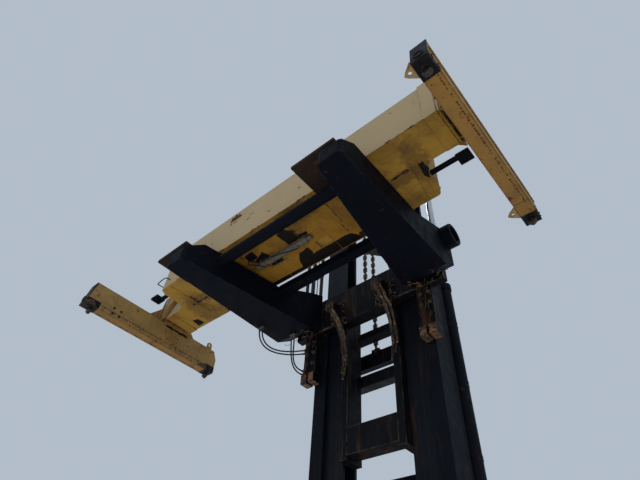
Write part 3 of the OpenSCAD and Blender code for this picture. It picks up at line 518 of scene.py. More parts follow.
for side in (-1, 1):
    for string in range(6):
        # thick strings down the knee's flange
        x = side * rng.uniform(0.378, 0.478)
        way_down = KNEE[::-1] + [(-0.634, 4.4 - 0.05 * string)]
        string_of([(x + rng.uniform(-0.012, 0.012), y - rng.uniform(0, 0.01), z + rng.uniform(-0.008, 0.008))
                   for y, z in way_down], 0.004, 0.018, 7)
    for lump in range(100):
        # lumps and curls, in turn on the cross beam's front and on the nose
        y, z = BEAM_FACE, rng.uniform(5.06, 5.42)
        x = side * 0.43 - 0.05 + rng.gauss(0, 0.07)
        if lump % 2:
            y, z, x = NOSE_FACE - rng.uniform(0, 0.03), rng.uniform(5.17, 5.26), side * rng.uniform(0.375, 0.48)
        bend, curl = rng.uniform(0, 6.28), rng.uniform(0.012, 0.045)
        string_of([(x + curl * cos(bend + 0.55 * k), y - 0.003 * k * (k < 5),
                    z + curl * sin(bend + 0.55 * k) - 0.005 * k) for k in range(9)], 0.004, 0.013)
    for curl in range(26):
        # curls, in turn on the front over the shank and under the arm's root
        low = curl % 2
        x, bend, wide = side * rng.uniform(0.88, 1.4), rng.uniform(0, 6.28), rng.uniform(0.012, 0.04)
        y, z = (rng.uniform(-0.96, -0.78), ROOT_UNDER) if low else (SHANK_FACE, rng.uniform(5.08, 5.3))
        string_of([(x + wide * cos(bend + 0.6 * k), y + wide * sin(bend + 0.6 * k) * low,
                    z + wide * sin(bend + 0.6 * k) * (1 - low)) for k in range(7)], 0.002, 0.007)
    for string in range(6):
        # thin strings down the shank, and along the cross beam's lower edge
        x, top = side * rng.uniform(0.9, 1.1), rng.uniform(4.7, 5.3)
        sizes = string_of([(x + 0.012 * sin(0.9 * k + string), SHANK_FACE, top - 0.03 * k)
                           for k in range(rng.randint(6, 15))], 0.002, 0.006)
        x = side * rng.uniform(0.5, 0.84)
        line = [(x + side * 0.022 * k, EDGE_Y, EDGE_Z + 0.016 * sin(0.8 * k + string)) for k in range(9)]
        sweep(caked, line, lambda i: sizes[i % len(sizes)], 6)
keep("caked_grease", caked, old_grease, "carriage")

# Shanks: hanging bars bolted and welded to the side plates, each with a pair of hook blocks whose
# worn faces are rusty plates a little proud of them. The cross beam's bolts come with theirs.
BOLT_FACE = -0.71
worn_hook = weathered("worn hook", (0.06, 0.03, 0.017), (0.022, 0.013, 0.009), [
    patches((0.3, 0.125, 0.045), 14, 0.48, 0.6, 0.9),
    patches((0.42, 0.33, 0.22), 22, 0.6, 0.68, 0.8)], rough=0.65, bump=0.8, grain=80, lumps=1)
shank_parts = bmesh.new()
for side in (-1, 1):
    bolts(shank_parts, [(side * x, BOLT_FACE, z) for z in (4.56, 4.74, 4.92) for x in (0.94, 1.06)], FRONT, 36)
    bead(shank_parts, (side * 0.895, -0.712, 5.047), (side * 1.105, -0.712, 5.047), 9, 3)
beam_bolts = [(x, BOLT_FACE, z) for x in (-1.24, -1.16, -1.08, 1.08, 1.16, 1.24) for z in (5.2, 5.5)]
bolts(shank_parts, beam_bolts, FRONT, 32)
keep("carriage_bolts", shank_parts, carriage_black, "carriage")


def plate(bm, x0, x1, y0, y1, z, thick, at=lambda *p: p):
    """A level rectangular plate, given from the mast's foot or, with sp, from the twistlocks' tips."""
    slab(bm, [at(x0, y0, z), at(x1, y0, z), at(x1, y1, z), at(x0, y1, z)], (0, 0, thick))


hook_faces = bmesh.new()
for side in (-1, 1):
    for x0, x1 in ((0.884, 0.976), (1.014, 1.116)):
        x0, x1 = side * x0, side * x1
        slab(hook_faces, [(x0, -0.74, 4.254), (x1, -0.74, 4.254), (x1, -0.74, 4.386), (x0, -0.74, 4.386)],
             (0, -0.006, 0))
        plate(hook_faces, x0, x1, -0.734, -0.6, 4.25, -0.005)
keep("hook_faces", hook_faces, worn_hook, "carriage", rounded=0.001)

# Arms: two long tapered boxes of black plate welded to the cross beam, joined by a tube and a rear
# member, each with a round pin cover held by six bolts and a raised rim. The seams are welded.
arm_black = weathered("arm black", (0.0035, 0.005, 0.01), (0.0022, 0.003, 0.0055), [
    side_on(DUST, UP, 0.3, 0.9, 0.45),
    patches(RUST, 7, 0.64, 0.71, 0.7),
    patches(GREASE, 2.5, 0.66, 0.85, 0.18),
# blue-grey edges: partly wear, partly a painted highlight on the edges
], rough=0.46, spread=0.3, edge=((0.03, 0.04, 0.062), 0.012, 0.9), gloss=0.06)
dress(arm_black, "arm_left", "arm_right", "arm_pins", "cross_tube", "rear_member", "shift_barrel", "valve_block",
      "marker_bars")
COVER_X, COVER_Y, COVER_Z, COVER_BOLTS, COVER_BOLT_R = 1.54, -0.83, 5.556, 6, 0.088
covers = bmesh.new()
for side in (-1, 1):
    bolts(covers, [(side * COVER_X, COVER_Y + COVER_BOLT_R * cos(turn), COVER_Z + COVER_BOLT_R * sin(turn))
                   for turn in turns(COVER_BOLTS)], (side, 0, 0), 22)
    turned(covers, (side * 1.57, COVER_Y, COVER_Z), (side, 0, 0),
           [(-100, 118), (-100, 165), (40, 165), (52, 156), (52, 122), (46, 118)], 44, ring=True)
keep("pin_cover_bolts", covers, arm_black, "carriage")


def arm_face(y):
    """Half the clear width between the arms at y."""
    return 1.15 - 0.33 * (y + 3.11) / 2.15


ARM_UNDER, ARM_SEAM = 4.99, 1.478
TUBE_Y, TUBE_Z, TUBE_WELD_R, TUBE_WELD_STEPS = -2.59, 5.236, 0.081, 28
seams = bmesh.new()
for side in (-1, 1):
    ring = []
    for turn in turns(TUBE_WELD_STEPS):
        y = TUBE_Y + TUBE_WELD_R * cos(turn)
        ring.append((side * arm_face(y), y, TUBE_Z + TUBE_WELD_R * sin(turn)))
    sweep(seams, ring, lambda i: 0.009 * (0.8 + 0.2 * (i % 2)), 6, closed=True)
    for y in (-1.6, -1.48):
        # the rear member's upright seams
        bead(seams, (side * arm_face(y), y, 5.28), (side * arm_face(y), y, 5.402), 8, 5)
    # bottom plate's seams, a little in from the arm's lower edges
    bead(seams, (side * ARM_SEAM, -3.06, ARM_UNDER), (side * ARM_SEAM, -0.98, ARM_UNDER), 6, 11)
    bead(seams, (side * (arm_face(-3) + 0.002), -3, ARM_UNDER),
         (side * (arm_face(-0.98) + 0.002), -0.98, ARM_UNDER), 6, 12)
keep("arm_welds", seams, arm_black, "carriage")

# Ends of the arm hoses: on each end a crimped steel sleeve and a nut, screwed into a flat block under
# the arm or on the shank's outer side.
ends = bmesh.new()
for hose, route in hose_curves:
    for p, q in ((route[0], route[2]), (route[-1], route[-3])):
        out = (q - p).normalized()
        turned(ends, p - out * 0.004, out, [(0, 14), (4, 15.5), (40, 15.5), (44, 12)], 18)
        turned(ends, p - out * 0.026, out, [(0, 18), (3, 19.5), (21, 19.5), (24, 17)], 6)
for bend in HOSE_BENDS:
    first, last = SPREADER + Vector(bend[0]), SPREADER + Vector(bend[3])
    plate(ends, first.x - 0.02, first.x + HOSE_PITCH + 0.02, first.y - 0.022, first.y + 0.022, 4.986, -0.03)
    x, y, z0, z1 = -1.12, last.y, last.z - 0.02, last.z + HOSE_PITCH + 0.02
    slab(ends, [(x, y - 0.02, z0), (x, y + 0.02, z0), (x, y + 0.02, z1), (x, y - 0.02, z1)], (-0.024, 0, 0))
keep("arm_hose_ends", ends, roller_steel, "carriage", rounded=0.002)

# Side shift cylinder: a black barrel on the spreader with a chromed rod to the right arm. Its gland
# ring is turned steel, and two hexagonal unions are screwed into its underside.
SHIFT_Y, SHIFT_Z, BARREL_END, BARREL_R = -1.37, 5.466, -0.26, 0.045
dress(rod_chrome, "shift_rod")
shift_fit = bmesh.new()
turned(shift_fit, (BARREL_END - 0.06, SHIFT_Y, SHIFT_Z), RIGHT, [(0, 50), (3, 54), (55, 54), (60, 50)], 28)
for x in (-1.15, -0.4):
    turned(shift_fit, (x, SHIFT_Y, SHIFT_Z - BARREL_R), DOWN,
           [(0, 18), (20, 18), (22, 14), (45, 14), (47, 10)], 6)
keep("shift_cylinder_fittings", shift_fit, roller_steel, "spreader")

# Main frame: two long boxes of yellow plate side by side, each open at one end, seam-welded, with a
# lip along each long edge. Its paint is lighter in front and darker brown beneath as painted light and
# shade, with a greasy stain beneath, and rusting.
TUBE_W, TUBE_UP, TUBE_H, TUBE_OPEN, TUBE_CLOSED, LIP = 0.5, 0.5, 0.73, 2.74, 2.2, 0.012
stain, give, take = new_group("stain", ("Centre", (0, 0, 0)), ("Squeeze", (1, 1, 1)), ("Ragged", 0.9))
where = here(stain)
away = vectors(stain, "MULTIPLY", vectors(stain, "SUBTRACT", where, give["Centre"]), give["Squeeze"])
far_off = add(stain, "VectorMath", operation="LENGTH", Vector=away).outputs["Value"]
waver = maths(stain, "SUBTRACT", noise(stain, Vector=where, Scale=9, Detail=6, Roughness=0.7), 0.5)
rim_off = maths(stain, "ADD", far_off, maths(stain, "MULTIPLY", waver, give["Ragged"]))
wire(stain, ramp(stain, rim_off, 1.05, 0.7), take)


def sp(x, y, z, half=1):
    """A point given from the middle of the twistlocks' tips; with half -1, turned half round it."""
    return SPREADER + Vector((half * x, half * y, z))


def yellow_paint(name, centre, amount, dirt_and_shade_places=()):
    """Yellow, lighter on the fronts and darker beneath as painted light and shade, with one wide greasy stain
    round a centre, and dark patches of grime and painted shade at (place, squeeze).
    """
    dirt_and_shade_layers = [((0.085, 0.042, 0.014), stain, dict(Centre=tuple(sp(*c)), Squeeze=s, Ragged=2.2), 0.55) for c, s in dirt_and_shade_places]
    return weathered(name, (0.44, 0.27, 0.08), (0.36, 0.21, 0.055), [
        # painted shade: undersides darker golden brown, as they lie in shade
        side_on((0.41, 0.225, 0.036), DOWN, 0.25, 0.8, 1),
        side_on((0.5, 0.43, 0.3), UP, 0.3, 0.9, 0.85),
        ((0.33, 0.15, 0.012), stain, dict(Centre=centre, Squeeze=(0.62, 1.4, 2.6), Ragged=1.1), amount),
        *dirt_and_shade_layers,
        patches((0.085, 0.042, 0.014), 1.5, 0.46, 0.72, 0.8),
        runs((0.22, 0.13, 0.055), 7, 0.7, 0.56, 0.82, 0.35),
        patches((0.2, 0.09, 0.024), 12, 0.56, 0.66, 0.55),
        # painted light: faces looking to the front lighter tan, as if lit by the sky
        side_on((0.54, 0.405, 0.235), FRONT, 0.3, 0.9, 0.86),
        runs((0.3, 0.2, 0.105), 5, 1.6, 0.6, 0.8, 0.3),
        patches(ORANGE, 4.6, 0.665, 0.71, 0.85),
        patches(RUST, 4.6, 0.695, 0.73, 0.95),
        patches(RUST, 26, 0.7, 0.73, 0.9),
    ], spread=0.25, edge=((0.08, 0.03, 0.013), 0.014, 1), bump=0.3, grain=60, gloss=0.14, lumps=0.6)


frame_yellow = yellow_paint("frame yellow", tuple(sp(0, 0, 0.5)), 0.75, dirt_and_shade_places=[
    # dark patches: the first, by the left closed end, is painted shade; the others are grime
    ((-2.02, 0.22, 0.5), (4.2, 2.6, 3)), ((-1.62, 0.02, 0.5), (2.2, 8, 3)), ((2.2, -0.05, 0.5), (6, 2.6, 3)),
    ((1.95, 0.02, 0.5), (2.6, 9, 3)), ((0.6, -0.36, 0.5), (2.4, 6, 3)), ((-0.55, 0.02, 0.5), (1.8, 9, 3))])
dress(frame_yellow, "main_frame")
seams = bmesh.new()
bead(seams, sp(-2.07, 0, TUBE_UP - 0.001), sp(2.07, 0, TUBE_UP - 0.001), 7, 21)
for half in (-1, 1):
    # along the lip in front and behind
    face, lip_z = TUBE_W + 0.001, TUBE_UP + 0.064
    bead(seams, sp(TUBE_CLOSED - 0.4, face, lip_z, half), sp(0.19 - TUBE_OPEN, face, lip_z, half), 6, 22 + half)
    # across and up beside the collar at the open end
    for x in (0.19 - TUBE_OPEN, 0.03 - TUBE_OPEN):
        bead(seams, sp(x, 0.02, TUBE_UP + 0.001, half), sp(x, 0.49, TUBE_UP + 0.001, half), 6, 24)
        bead(seams, sp(x, face, TUBE_UP + 0.01, half), sp(x, face, TUBE_UP + TUBE_H, half), 6, 25)
    # where the bottom plates butt, and along the foot of the closed end
    for x in (-1.25, -0.3, 0.65):
        bead(seams, sp(x, 0.01, TUBE_UP - 0.001, half), sp(x, 0.49, TUBE_UP - 0.001, half), 4, 27)
    foot_z = TUBE_UP + 0.018
    bead(seams, sp(-TUBE_CLOSED, -0.44, foot_z, half), sp(-TUBE_CLOSED, -0.24, foot_z, half), 7, 28)
keep("frame_welds", seams, frame_yellow, "spreader")

# Rust on the frame: blisters of scale where the paint is chipped, in clusters along the front lip,
# in lines over the underside's seams, and scattered on the front. Uneven discs on the plate.
rust_scale = weathered("rust scale", (0.12, 0.048, 0.022), (0.055, 0.024, 0.014), [
    patches(ORANGE, 24, 0.5, 0.66, 0.8),
    patches((0.02, 0.012, 0.01), 15, 0.56, 0.66, 0.8),
], rough=0.75, bump=0.9, grain=90, gloss=0.2, soft_edge=0)


def flake(bm, centre, normal, wide, high, seed, proud=0.003):
    """A blister of rust on a face: an uneven disc, proud in the middle and broken at the rim."""
    rng = Random(seed)
    normal = Vector(normal).normalized()
    across = Vector((1, 0, 0)) if abs(normal.x) < 0.5 else Vector((0, 1, 0))
    on = normal.cross(across)
    jag = [rng.uniform(0.62, 1) for _ in range(18)]
    rings = []
    for shrink, lift in ((1, -0.001), (0.9, proud * 0.7), (0.55, proud), (0.2, proud * rng.uniform(0.5, 1))):
        rings.append([bm.verts.new(
            Vector(centre) + normal * lift * (1 if shrink == 1 else rng.uniform(0.6, 1.1))
            + across * wide * shrink * j * cos(turn) + on * high * shrink * j * sin(turn))
            for j, turn in zip(jag, turns(len(jag)))])
    skin(bm, rings)


CHIP_XS = (-1.6, -1.25, -0.9, -0.75, -0.1, 0.4, 0.8, 1.3, 1.75, 2.1, 2.4)
# (x, y, half length, half width) in mm of the marks beneath, and the same with z for those in front
UNDER_MARKS = [(-1810, 45, 60, 14), (-2000, 40, 70, 10), (2010, -50, 50, 30), (1840, -45, 40, 12),
               (1930, -48, 60, 10), (946, -304, 14, 80), (963, -167, 12, 90), (949, 14, 14, 95), (902, 220, 14, 90)]
FRONT_MARKS = [(-700, 1020, 26, 20), (-720, 1100, 14, 50), (-620, 1020, 50, 12), (-300, 880, 55, 7),
               (-240, 950, 45, 6), (700, 800, 30, 12), (1550, 920, 40, 16), (-1350, 900, 35, 18), (150, 720, 40, 10)]
rust = bmesh.new()
rng = Random(41)
for k in range(44):
    # a chip on the front lip's face, and one beside it on its lower edge
    x = rng.choice(CHIP_XS) + rng.gauss(0, 0.05)
    wide = 0.008 + 0.03 * rng.random() ** 2
    flake(rust, sp(x, -(TUBE_W + LIP), TUBE_UP + rng.uniform(0, 0.014)), FRONT, wide, rng.uniform(0.003, 0.012), k)
    flake(rust, sp(x + rng.uniform(-0.03, 0.03), -(TUBE_W + LIP) + 0.006, TUBE_UP), DOWN, wide * 1.2,
          rng.uniform(0.003, 0.012), 70 + k)
for x, y, wide, high in ([v / 1000 for v in mark] for mark in UNDER_MARKS):
    for j in range(2):
        flake(rust, sp(x + 0.004 * j, y + 0.5 * high * (2 * j - 1), TUBE_UP), DOWN, wide * rng.uniform(0.5, 1),
              high * rng.uniform(0.5, 1), int(300 * abs(x)) + j, 0.004)
for x, z, wide, high in ([v / 1000 for v in mark] for mark in FRONT_MARKS):
    flake(rust, sp(x, -TUBE_W, z), FRONT, wide, high, int(900 * abs(x)))
keep("frame_rust", rust, rust_scale, "spreader")

# Dark films beneath the frame, painted shade: thin black patches where the underside lies in shadow,
# round the small cylinder, along the rear edge and at the closed ends, some standing for black brackets.
# Flat patches with a ragged rim, stuck to the bottom plates.
dark_film = weathered("oily film", (0.009, 0.006, 0.0035), (0.004, 0.0032, 0.0026), [
    patches((0.06, 0.028, 0.008), 16, 0.58, 0.72, 0.6),
], rough=0.45, spread=0.3, bump=0.6, grain=80, gloss=0.15, soft_edge=0)
FILM_T = 0.0022


def film(bm, outline, z, thick, seed, step=0.03, ragged=0.007):
    """A thin ragged film on an underside: the outline's (x, y) corners in mm, with an uneven rim."""
    rng = Random(seed)
    rim, outline = [], [(x / 1000, y / 1000) for x, y in outline]
    for i, (x, y) in enumerate(outline):
        nx, ny = outline[(i + 1) % len(outline)]
        n = max(1, int(hypot(nx - x, ny - y) / step))
        for k in range(n):
            rim.append(sp(x + (nx - x) * k / n + rng.uniform(-1, 1) * ragged,
                          y + (ny - y) * k / n + rng.uniform(-1, 1) * ragged, z))
    middle = sum(rim, Vector()) / len(rim)
    inner = [p.lerp(middle, 0.12) - Vector((0, 0, thick * rng.uniform(0.6, 1.2))) for p in rim]
    a, b = [bm.verts.new(p) for p in rim], [bm.verts.new(p) for p in inner]
    top, low = bm.verts.new(middle), bm.verts.new(middle - Vector((0, 0, thick * 1.3)))
    n = len(rim)
    for k in range(n):
        m = (k + 1) % n
        bm.faces.new((a[k], a[m], b[m], b[k]))
        bm.faces.new((a[m], a[k], top))
        bm.faces.new((b[k], b[m], low))


films = bmesh.new()
for seed, outline in enumerate([
    # in front of the cylinder, at its left end, behind it, along the rear edge, by the valve block
    [(211, -289), (304, -171), (328, -60), (452, -50), (463, 67), (347, 96), (89, 19), (80, -250)],
    [(-350, 85), (-177, 100), (-171, 173), (-386, 167)],
    [(83, 213), (276, 186), (267, 302), (145, 464), (-53, 471), (-15, 342)],
    [(-850, 430), (-128, 462), (-41, 470), (238, 325), (904, 330), (1020, 497), (-850, 497)],
    [(-536, -52), (-308, -135), (-251, 9), (-498, 135)],
    # at the right closed end, then at the left one
    [(2160, -45), (2255, -55), (2262, 77), (2200, 207), (2150, 120)],
    [(1830, -60), (1999, -56), (2059, -66), (2059, -40), (1840, -30)],
    [(-2060, 30), (-1700, 34), (-1700, 52), (-2080, 60)],
    [(-1945, -130), (-1915, -130), (-1910, 60), (-1950, 60)],
    [(-2420, 300), (-2300, 330), (-2280, 460), (-2440, 470)],
]):
    film(films, outline, TUBE_UP, FILM_T, seed + 5)
keep("painted_shade_films", films, dark_film, "spreader")

# Plates on the frame: a doubling strip welded across the underside near each closed end, and on the
# front the stub of a torn-off bracket, bent, ragged and rusty, with its weld.
STRIPS = ([(2.035, 0.46), (2.115, 0.47), (2.2, -0.1), (2.13, -0.15)],
          [(-2.02, -0.47), (-1.975, -0.47), (-1.95, 0.3), (-1.995, 0.3)])
strips = bmesh.new()
for outline in STRIPS:
    slab(strips, [sp(x, y, TUBE_UP) for x, y in outline], (0, 0, -0.007))
    for (a, b), seed in (((0, 3), 61), ((1, 2), 62)):
        bead(strips, sp(*outline[a], TUBE_UP - 0.002), sp(*outline[b], TUBE_UP - 0.002), 5, seed)
keep("doubling_strips", strips, frame_yellow, "spreader")
STUB = [(-0.715, 1.085), (-0.7, 1.18), (-0.655, 1.13), (-0.62, 1.2), (-0.57, 1.12), (-0.545, 1.16), (-0.49, 1.085)]
torn = bmesh.new()
slab(torn, [sp(x, -TUBE_W, z) for x, z in STUB[::-1]], (0, -0.01, 0))
bead(torn, sp(-0.72, -TUBE_W - 0.01, 1.082), sp(-0.485, -TUBE_W - 0.01, 1.082), 7, 31)
keep("torn_bracket", torn, rust_scale, "spreader", rounded=0.002)

# Top of the frame: two galvanised pipes along the groove between the tubes, clipped down by bolted
# strips, with a union at each end, and four bolted cover plates over the openings in the tubes.
TOP, PIPE_Y, PIPE_END, PIPE_RISE = TUBE_UP + TUBE_H, 0.018, 1.86, 0.014
galvanised = weathered("galvanised pipe", (0.36, 0.36, 0.35), (0.22, 0.21, 0.2), [
    patches(RUST, 12, 0.6, 0.7, 0.7),
    side_on(DUST, UP, 0.2, 0.9, 0.5)], rough=0.4, metal=0.6, edge=(BARE, 0.004, 0.7))
pipes = bmesh.new()
for y in (-PIPE_Y, PIPE_Y):
    sweep(pipes, [sp(x, y, TOP + PIPE_RISE) for x in (-PIPE_END, -1, 0, 1, PIPE_END)], 0.01, 12)
    for x in (-PIPE_END, PIPE_END):
        turned(pipes, sp(x, y, TOP + PIPE_RISE), (x, 0, 0), [(-30, 12), (-28, 15), (30, 15), (32, 10)], 6)
for x in (-1.5, -0.9, -0.3, 0.3, 0.9, 1.5):
    plate(pipes, x - 0.02, x + 0.02, -0.055, 0.055, TOP, 0.006, sp)
    bolts(pipes, [sp(x, y, TOP + 0.005) for y in (-0.045, 0.045)], UP, 14)
keep("top_pipes", pipes, galvanised, "spreader")
COVER_HALF, COVER_T, COVER_ROW = 0.15, 0.008, 5
covers = bmesh.new()
for a, b, y in ((-1.45, -0.75, -0.27), (0.55, 1.25, -0.27), (-1.25, -0.55, 0.27), (0.75, 1.45, 0.27)):
    plate(covers, a, b, y - COVER_HALF, y + COVER_HALF, TOP, COVER_T, sp)
    bolts(covers, [sp(a + 0.04 + (b - a - 0.08) * i / (COVER_ROW - 1), y + dy, TOP + COVER_T)
                   for i in range(COVER_ROW) for dy in (-0.125, 0.125)], UP, 20)
keep("top_covers", covers, frame_yellow, "spreader", rounded=0.002)

# Bearing shoes: rough brown plates that stick out in front of the frame and carry it on the arms.
# Flame-cut and rusty, each held by six bolts from above.
shoe_rust = weathered("shoe rust", (0.036, 0.02, 0.013), (0.018, 0.011, 0.009), [
    patches(ORANGE, 8, 0.6, 0.74, 0.5),
    patches((0.02, 0.014, 0.012), 5, 0.5, 0.65, 0.8),
], rough=0.65, edge=(BARE, 0.006, 0.6), lumps=0.8, bump=0.6, gloss=0.12)
dress(shoe_rust, "bearing_shoes")
shoe_bolts = bmesh.new()
for side in (-1, 1):
    bolts(shoe_bolts, [sp(side * x, y, TUBE_UP) for x in (1.1, 1.325, 1.55) for y in (-0.9, -0.56)], UP, 26)
keep("shoe_bolts", shoe_bolts, shoe_rust, "spreader")

# Small cylinder and valve block under the frame: pale primed steel, rough and oily, with clamp bands,
# banjo unions in the ports and two bent steel pipes between them, painted black.
CYL_Y, CYL_Z, VALVE_Y, VALVE_PORT_Z = 0.03, TUBE_UP - 0.046, -0.165, TUBE_UP - 0.07
BAND = [(0, 44), (0, 45.5), (2, 49), (26, 49), (28, 45.5), (28, 44)]
pale_grey = weathered("pale grey", (0.15, 0.128, 0.095), (0.08, 0.066, 0.045), [
    patches((0.075, 0.05, 0.024), 8, 0.48, 0.66, 0.8),
    patches((0.055, 0.035, 0.022), 20, 0.6, 0.7, 0.7),
], edge=(BARE, 0.005, 0.8), bump=0.5, lumps=0.5)
dress(pale_grey, "underside_cylinder")
bands = bmesh.new()
for x in (-0.3, 0.1, 0.3):
    turned(bands, sp(x, CYL_Y, CYL_Z), RIGHT, BAND, 36, ring=True)
for x in (-0.36, 0.24):
    turned(bands, sp(x, CYL_Y, CYL_Z - 0.066), DOWN,
           [(-4, 15), (4, 15.5), (14, 15.5), (18, 10)], 6)
bolts(bands, [sp(x, y, TUBE_UP - 0.06) for x in (-0.42, -0.44, 0.36, 0.38) for y in (-0.014, 0.074)], DOWN, 16)
keep("cylinder_bands", bands, pale_grey, "spreader")
valve_pipes = bmesh.new()
for valve_x, port_x in ((-0.53, -0.36), (-0.47, 0.24)):
    # straight down out of the valve block, level to the cylinder's port, and up into it
    a, b = sp(valve_x, VALVE_Y, VALVE_PORT_Z), sp(port_x, CYL_Y, CYL_Z - 0.074)
    low = min(a.z, b.z) - 0.018
    under_a, under_b = Vector((*a.xy, low)), Vector((*b.xy, low))
    sweep(valve_pipes, [a, Vector((*a.xy, low + 0.004)), under_a.lerp(under_b, 0.05), under_a.lerp(under_b, 0.95),
                        Vector((*b.xy, low + 0.004)), b], 0.007, 12)
keep("valve_pipes", valve_pipes, arm_black, "spreader")

# Closed tube ends: marker bar with its plate, two black steel pipes down the notch between the tubes
# with nuts at their ends, and on the left a grab loop of bent round bar.
SIDE = {-1: "left", 1: "right"}
END_NUT = [(-45, 9.5), (-40, 12.5), (0, 12.5), (3, 15), (18, 15), (20, 10)]
for side in (-1, 1):
    end_pipes, end_metal = bmesh.new(), bmesh.new()
    for x, y in ((-TUBE_CLOSED + 0.04, -0.03), (-TUBE_CLOSED + 0.08, -0.052)):
        path = [sp(x, y, TUBE_UP + h, side) for h in (0.64, 0.55, 0.45, 0.35, 0.25, 0.15, 0.06)]
        path += [sp(x + 0.006, y, TUBE_UP + 0.024, side)]
        sweep(end_pipes, path, 0.009, 12)
        turned(end_metal, path[0], UP, END_NUT, 14)
        turned(end_metal, path[-1], DOWN, END_NUT, 14)
    keep(f"{SIDE[side]}_end_pipes", end_pipes, arm_black, "spreader")
    bolts(end_metal, [sp(-(TUBE_CLOSED + 0.35 + x), y, TUBE_UP + 0.185, side)
                      for x in (0.03, 0.14) for y in (-0.34, -0.26)], UP, 18)
    keep(f"{SIDE[side]}_end_fittings", end_metal, roller_steel, "spreader")
loop = bmesh.new()
sweep(loop, [sp(*p) for p in (
    (-2.02, -0.496, 0.63), (-2.02, -0.545, 0.63), (-2.035, -0.575, 0.622), (-2.1, -0.585, 0.605),
    (-2.18, -0.58, 0.6), (-2.245, -0.565, 0.61), (-2.262, -0.53, 0.625), (-2.262, -0.44, 0.63),
    (-2.2, -0.41, 0.63))], 0.008, 10)
keep("grab_loop", loop, arm_black, "spreader")

# Sliding beams: yellow plate boxes that telescope out of the frame's tubes on greased pads. A thin
# dark film lies under each where it leaves the tube.
BODY = {-1: "left_beam", 1: "right_beam"}
beam_yellow = yellow_paint("beam yellow", tuple(sp(0, 0, 3)), 0)
dress(beam_yellow, "beam_left", "beam_right")
for side in (-1, 1):
    dark_strip = bmesh.new()
    corners = ((2748, -455), (2795, -455), (2795, -45), (2748, -45))
    film(dark_strip, [(side * x, side * y) for x, y in corners], TUBE_UP + 0.0265, 0.0015, 70 + side)
    keep(f"{SIDE[side]}_beam_dark_strip", dark_strip, dark_film, BODY[side])

# End beams: yellow boxes with a pedestal that carries the sliding beam, rub strips and lifting eyes.
# Their edges are welded, four bolts go through the inner plate, and every lower edge is rusty.
LOCK_X, LOCK_Y, END_HALF, END_FRONT, LAND = 2.9265, 1.1295, 0.085, 1.25, 0.1
end_yellow = weathered("end yellow", (0.4, 0.25, 0.085), (0.3, 0.18, 0.055), [
    # painted shade: undersides darker brown, as they lie in shade
    side_on((0.3, 0.155, 0.03), DOWN, 0.25, 0.8, 1),
    side_on((0.48, 0.42, 0.32), UP, 0.3, 0.9, 0.85),
    patches((0.17, 0.095, 0.035), 3, 0.46, 0.7, 0.65),
    runs((0.22, 0.115, 0.04), 8, 1, 0.52, 0.8, 0.5),
    patches(ORANGE, 6, 0.58, 0.65, 0.85),
    patches(RUST, 6, 0.64, 0.68, 0.95),
    patches(RUST, 24, 0.64, 0.68, 0.9),
], rough=0.52, spread=0.25, edge=((0.085, 0.032, 0.013), 0.016, 1), bump=0.35, grain=60, gloss=0.3, lumps=0.7)
dress(end_yellow, "end_beam_left", "end_beam_right")
for side in (-1, 1):
    label, inward = SIDE[side], (-side, 0, 0)
    inner, outer = side * (LOCK_X - END_HALF), side * (LOCK_X + END_HALF)
    welds = bmesh.new()
    for x, seed in ((inner + side * 0.004, 51), (outer - side * 0.004, 52)):
        bead(welds, sp(x, -1.2, TUBE_UP + 0.001), sp(x, 1.14, TUBE_UP + 0.001), 7, seed)
    for y in (-0.84, 0.84):
        bead(welds, sp(inner, y, LAND + 0.02), sp(inner, y, TUBE_UP - 0.01), 5, 53)
    bead(welds, sp(inner + side * 0.002, -1.02, LAND), sp(inner + side * 0.002, 1.02, LAND), 6, 54)
    keep(f"{label}_end_welds", welds, end_yellow, BODY[side])
    studs = bmesh.new()
    bolts(studs, [sp(inner + side * 0.004, y, z) for y in (-0.82, -0.7) for z in (0.15, 0.25)], inward, 28)
    keep(f"{label}_end_bolts", studs, arm_black, BODY[side])
    scale = bmesh.new()
    rng = Random(60 + side)
    y = -1.02
    while y < 1.02:
        # a broken line of rust over the bottom strip, and one along the outer edge underneath
        wide = 0.006 + 0.034 * rng.random() ** 2
        if rng.random() < 0.85:
            flake(scale, sp(inner, y, LAND + 0.07 + rng.uniform(-0.004, 0.004)), inward,
                  0.005 + 0.007 * rng.random(), wide, int(1000 * (y + 2)))
        if rng.random() < 0.92:
            flake(scale, sp(outer - side * 0.034 + side * rng.uniform(-0.004, 0.004), y, LAND), DOWN,
                  0.006 + 0.012 * rng.random(), wide, int(3000 * (y + 2)))
        y += 0.022 + wide * 0.9
    x, z = inner + side * 0.001, LAND + 0.076
    bead(scale, sp(x, -1.03, z), sp(x, 1.03, z), 4.5, 63)
    bead(scale, sp(inner, 0.84, LAND - 0.001), sp(outer, 0.84, LAND - 0.001), 4, 64)
    for k in range(20):
        # specks on the bottom strip and beneath the beam
        flake(scale, sp(inner, rng.uniform(-1, 1), LAND + rng.uniform(0.004, 0.055)), inward,
              rng.uniform(0.004, 0.014), rng.uniform(0.006, 0.03), k)
        flake(scale, sp(rng.uniform(inner + side * 0.01, outer - side * 0.05), rng.uniform(-1, 1), LAND), DOWN,
              rng.uniform(0.003, 0.009), rng.uniform(0.003, 0.014), 100 + k)
    for k in range(14):
        # specks on the inner plate behind the middle
        flake(scale, sp(inner, 0.35 + rng.gauss(0, 0.22), rng.uniform(0.18, 0.46)), inward,
              rng.uniform(0.004, 0.018), rng.uniform(0.005, 0.022), 200 + k)
    keep(f"{label}_end_rust", scale, rust_scale, BODY[side])
    dark_flakes = bmesh.new()
    for k in range(11):
        # dark flakes on the inner plate, just under the sliding beam
        flake(dark_flakes, sp(inner + side * 0.0005, -side * (0.12 + 0.038 * k), 0.47 - rng.uniform(0, 0.012)), inward,
              rng.uniform(0.03, 0.06), rng.uniform(0.016, 0.04), 300 + k, 0.002)
    keep(f"{label}_end_dark_flakes", dark_flakes, dark_film, BODY[side])

